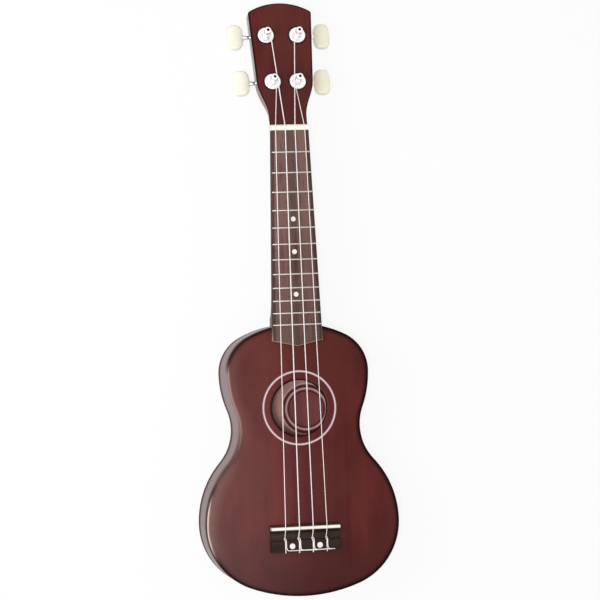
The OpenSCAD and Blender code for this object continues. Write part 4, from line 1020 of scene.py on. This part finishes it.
def make_screws():
    """Two screws in each tuner's plate and one in its gear, each with its slot turned another way."""
    plates = bmesh.new()
    for n, string in enumerate(STRINGS):
        for k, y in enumerate((LOWER_SCREW_Y, UPPER_SCREW_Y)):
            at = at_tuner(string) @ Matrix.Translation((0, y, -PLATE_T))
            turn = Matrix.Rotation(TUNER_TURN * n + SCREW_TURN * k, 4, "Z")
            cut_screw(plates, at @ turn, PLATE_SHANK_R, PLATE_SHANK_L)
        bolt = bmesh.new()
        at = at_tuner(string) @ Matrix.Translation((0, 0, -GEAR_BOTTOM))
        cut_screw(bolt, at @ Matrix.Rotation(BOLT_TURN + n, 4, "Z"), BOLT_SHANK_R, BOLT_SHANK_L)
        piece("gear_bolt_" + string, bolt, (chrome,), "tuner_post_" + string,
              ["gear_screw_" + string])
    piece("plate_screws", plates, (chrome,), "instrument", ["tuner_screws"])


make_screws()


def spread(string, gap):
    """How far a string lies to the side, where strings lie a gap apart."""
    return (STRINGS.index(string) - 1.5) * gap


def nut_bend(string):
    z = BODY_H + SLOT_H + SEAT_GAP + STRING_D[string] / 2
    return Vector((spread(string, NUT_GAP), NUT_Y + NUT_T / 2, z))


def wind_r(string):
    return POST_WAIST_R + WIND_GAP + STRING_D[string] / 2


WIND_END = math.radians(90 - 360 * WINDING_TURNS)


def wind_start(string):
    n = to_head(nut_bend(string))
    d = Vector((HAND[string] * n.x - POST_X[string], n.y - POST_V[string]))
    return heading(d) - math.acos(wind_r(string) / d.length) + 2 * math.pi


def wind_rise(string, a):
    return (STRING_D[string] + WINDING_GAP) * (wind_start(string) - a) / (2 * math.pi)


LOWER_TOP = max(FERRULE_T + WIND_SEAT + STRING_D[string] + wind_rise(string, WIND_END)
                for string in LOWER_STRINGS)


def wind_point(string, a):
    """Place of a winding across, along and over the head's face."""
    seat = LOWER_TOP + UPPER_LIFT if string in UPPER_STRINGS else FERRULE_T + WIND_SEAT
    r = wind_r(string)
    return (HAND[string] * (POST_X[string] + r * math.cos(a)), POST_V[string] + r * math.sin(a),
            STRING_D[string] / 2 + seat + wind_rise(string, a))


WAIST_TOP = WIND_SEAT + max(wind_point(string, WIND_END)[2] + STRING_D[string] / 2
                            for string in UPPER_STRINGS)
POST_H = WAIST_TOP + WAIST_SLOPE + POST_HEAD


def make_bore(string):
    """Dark lining of the hole in a post's end, down to its string hole: painted shade for the dark deep in
    the bore.
    """
    shape = bmesh.new()
    r, top = END_HOLE_R - BORE_GAP, HEAD_T + POST_H - BORE_DROP
    low = HEAD_T + POST_H - (POST_HEAD + POST_EDGE) / 2 + BORE_FLOOR
    profile = [(0, low), (r, low), (r, top), (r - BORE_WALL[0], top), (r - BORE_WALL[1], low + BORE_DISH[0]),
               (0, low + BORE_DISH[1])]
    turned(shape, profile, DOT_STEPS)
    bmesh.ops.transform(shape, matrix=at_tuner(string), verts=shape.verts)
    piece("post_bore_" + string, shape, (bore_shade_metal,), "tuner_post_" + string)


for string in STRINGS:
    make_bore(string)


def over_saddle(string):
    """Arc over the saddle, between the straight runs to the tie block and to the nut."""
    r, b = STRING_D[string] / 2, nut_bend(string)
    c = Vector((SADDLE_Y, BODY_H + SADDLE_H - SADDLE_T / 2))
    reach = SADDLE_T / 2 + r + SEAT_GAP
    hole, nut = Vector((TIE_FRONT + 2 * r, BODY_H + TIE_HOLE_H)) - c, Vector((b.y, b.z)) - c
    first = heading(hole) - math.acos(reach / hole.length) + 2 * math.pi
    last = heading(nut) + math.acos(reach / nut.length)
    return [Vector((spread(string, SADDLE_GAP), c.x + reach * math.cos(a), c.y + reach * math.sin(a)))
            for a in (share(first, last, k / SADDLE_STEPS) for k in range(SADDLE_STEPS + 1))]


# Where a loop passes over the tail of the string beside it: places from the block's back, and shares of lift
LOOP_LIFT = ((5.0, 0.0), (3.6, 0.2), (2.4, 0.75), (1.4, 1.0), (0.7, 0.85))


def tie_loop(string):
    """Loop over the tie block, down behind it and forward through its hole."""
    nth, r, x = STRINGS.index(string), STRING_D[string] / 2, spread(string, SADDLE_GAP)
    turn, low = r + LOOP_SLACK, BODY_H + TIE_HOLE_H
    high = BODY_H + TIE_H + r + SEAT_GAP
    mid = BRIDGE_BACK - r - LOOP_SLACK + SEAT_GAP + turn
    under = STRING_D[STRINGS[nth - 1]] if nth else 0.0
    points = [Vector((x, BRIDGE_BACK + y, high + h * under)) for y, h in LOOP_LIFT]
    for start, height in ((QUARTER, high - turn), (math.pi, low + turn)):
        points += [Vector((x, mid + turn * math.cos(start + a), height + turn * math.sin(start + a)))
                   for a in quarter(LOOP_STEPS)]
    return points + [Vector((x, TIE_FRONT + 2 * r, low))]


def eased_route(knots, steps):
    """Smooth line through all knots."""
    ends = [2 * knots[0] - knots[1]] + knots + [2 * knots[-1] - knots[-2]]
    points = []
    for a, b, c, d in zip(ends, ends[1:], ends[2:], ends[3:]):
        points += interpolate_bezier(b, b + (c - a) / 6, c - (d - b) / 6, c, steps + 1)[:-1]
    return points + [knots[-1]]


def tie_hitch(string):
    """Tail along the block's back edge, forward over the block and once round the string in front of it."""
    d, x = STRING_D[string], spread(string, SADDLE_GAP)
    high = BODY_H + TIE_H + d / 2 + SEAT_GAP
    end = x + (LAST_TIED_TAIL if string == STRINGS[-1] else TIED_TAIL)
    knots = [(end, BRIDGE_BACK + 1.3, high), (x + 7, BRIDGE_BACK + 1.35, high),
             (x + 3, BRIDGE_BACK + 1.5, high), (x + 1.6, BRIDGE_BACK + 2.3, high),
             (x + 1.35 * d, BRIDGE_BACK + 4.5, high),
             (x + 1.25 * d, TIE_FRONT - 2.0, high), (x + 1.2 * d, TIE_FRONT - 0.2, high + 0.05),
             (x + 1.15 * d, TIE_FRONT + 0.7, high - 0.9), (x + 1.05 * d, TIE_FRONT + 1.35, BODY_H + 5.6),
             (x, TIE_FRONT + 1.6, BODY_H + 5.35 - d), (x - 1.05 * d, TIE_FRONT + 1.35, BODY_H + 5.7),
             (x - 0.95 * d, TIE_FRONT + 0.75, high - 0.8), (x - 0.5 * d, TIE_FRONT - 0.1, high + 0.1),
             (x, TIE_FRONT - 1.6, high), (x, TIE_FRONT - 4.0, high)]
    return eased_route([Vector(k) for k in knots], HITCH_STEPS)


def string_route(string):
    """A string's whole way: hitch, loop, saddle, nut and windings, to its cut end."""
    bend, saddle = nut_bend(string), over_saddle(string)
    first = wind_start(string)
    turns = [head_point(*wind_point(string, share(first, WIND_END, k / WIND_STEPS)))
             for k in range(WIND_STEPS + 1)]
    level = [share(saddle[-1], bend, t) for t in LEVEL_SHARES]
    fall = [share(bend, turns[0], t) for t in FALL_SHARES]
    x, v, h = wind_point(string, WIND_END)
    cut = head_point(x + HAND[string] * STRING_TAIL, v, h)
    return tie_hitch(string) + tie_loop(string) + saddle + level + [bend] + fall + turns + [cut]


def make_string(string):
    line = bpy.data.curves.new("line", "CURVE")
    line.dimensions = "3D"
    line.bevel_depth, line.bevel_resolution, line.use_fill_caps = STRING_D[string] * DRAWN_FULL / 2, 3, True
    route = string_route(string)
    run = line.splines.new("POLY")
    run.points.add(len(route) - 1)
    for point, p in zip(run.points, route):
        point.co = (*p, 1)
    holder = bpy.data.objects.new("line", line)
    shape = bmesh.new()
    shape.from_mesh(bpy.data.meshes.new_from_object(holder))
    bpy.data.objects.remove(holder)
    piece("string_line_" + string, shape, (nylon,), "instrument", ["string_" + string], crease=60)


for string in STRINGS:
    make_string(string)


def make_paper():
    """Plain paper disc on the inside of the back."""
    shape = bmesh.new()
    low, high = BACK_T + PAPER_GAP, BACK_T + PAPER_T
    profile = [(0, high), (PAPER_R - PAPER_EASE, high), (PAPER_R, high - PAPER_EASE), (PAPER_R, low),
               (0, low)]
    turned(shape, profile, HOLE_STEPS, (*PAPER_AT, 0))
    piece("paper_disc", shape, (paper,), "instrument")


make_paper()

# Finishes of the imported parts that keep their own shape
FINISH_OF = {"rosette": ring_inlay, "nut": bone, "bridge": bridge_wood, "saddle": bone, "bridge_dots": pearl}
for name in ("neck_block", "tail_block", "bridge_plate", "neck_dowels"):
    FINISH_OF[name] = inner_wood
for plate in ("top", "back"):
    for hand in ("bass", "treble"):
        FINISH_OF[plate + "_lining_" + hand] = inner_wood
    for bout in ("upper", "lower"):
        FINISH_OF[bout + "_" + plate + "_brace"] = inner_wood
TUNER_FINISH = {"ferrule_": satin, "tuner_plate_": chrome, "post_": satin, "gear_": brass,
                "worm_shaft_": chrome}
for string in STRINGS:
    FINISH_OF.update({name + string: made for name, made in TUNER_FINISH.items()})
for name, made in FINISH_OF.items():
    parts[name].data.materials.clear()
    parts[name].data.materials.append(made)

# Floor, light and world, in metres
FLOOR_HALF, FLOOR_DROP, FLOOR_TONE, FLOOR_GLOW = 4.0, 0.0003, (0.9, 0.9, 0.9, 1), 0.88
WHITE, WORLD_LIGHT = (1, 1, 1, 1), 0.4


def seen(start):
    """1 for what the camera sees straight, in a shine or through glass, and 0 for light on the instrument."""
    straight, shine, glass = (start.node("ShaderNodeLightPath", out=ray)
                              for ray in ("Is Camera Ray", "Is Glossy Ray", "Is Transmission Ray"))
    return greater(straight, greater(shine, glass))


def make_floor():
    shape = bmesh.new()
    bmesh.ops.create_grid(shape, x_segments=2, y_segments=2, size=FLOOR_HALF)
    bmesh.ops.translate(shape, vec=(0, 0, -FLOOR_DROP), verts=shape.verts)
    mesh = bpy.data.meshes.new("floor")
    shape.to_mesh(mesh)
    shape.free()
    made, start = finish("floor_white")
    matt = start.node("ShaderNodeBsdfDiffuse", {}, {"Color": FLOOR_TONE})
    glow = start.node("ShaderNodeEmission", {}, {"Color": WHITE, "Strength": 1.0})
    close(start, start.node("ShaderNodeMixShader", {}, {0: seen(start) * FLOOR_GLOW, 1: matt, 2: glow}))
    mesh.materials.append(made)
    floor = bpy.data.objects.new("floor", mesh)
    scene.collection.objects.link(floor)


def make_lamp(name, stands, aim, size, watts):
    lamp = bpy.data.lights.new(name, "AREA")
    lamp.shape, lamp.size, lamp.size_y, lamp.energy = "RECTANGLE", size[0], size[1], watts
    holder = bpy.data.objects.new(name, lamp)
    holder.location = stands
    holder.visible_camera = False
    holder.rotation_euler = (Vector(aim) - Vector(stands)).to_track_quat("-Z", "Y").to_euler()
    scene.collection.objects.link(holder)


def make_world():
    world = bpy.data.worlds.new("studio")
    scene.world = world
    world.use_nodes = True
    world.node_tree.nodes.clear()
    start = Level(world.node_tree)
    dim = start.node("ShaderNodeBackground", {}, {"Color": WHITE, "Strength": WORLD_LIGHT})
    white = start.node("ShaderNodeBackground", {}, {"Color": WHITE, "Strength": 1.0})
    both = start.node("ShaderNodeMixShader", {}, {0: seen(start), 1: dim, 2: white})
    close(start, both, "ShaderNodeOutputWorld")


make_floor()
make_world()
make_lamp("key_left", stands=(-0.47, 0.0, 1.95), aim=(0, 0.08, 0.03), size=(0.14, 0.14), watts=11.6)
make_lamp("soft_above", stands=(-0.1, -0.05, 2.0), aim=(0, 0.08, 0.03), size=(0.8, 0.36), watts=4.5)
make_lamp("soft_left", stands=(-0.62, 0.2, 0.75), aim=(0, 0.1, 0.03), size=(0.5, 0.5), watts=3.8)
scene.view_settings.view_transform = "Standard"
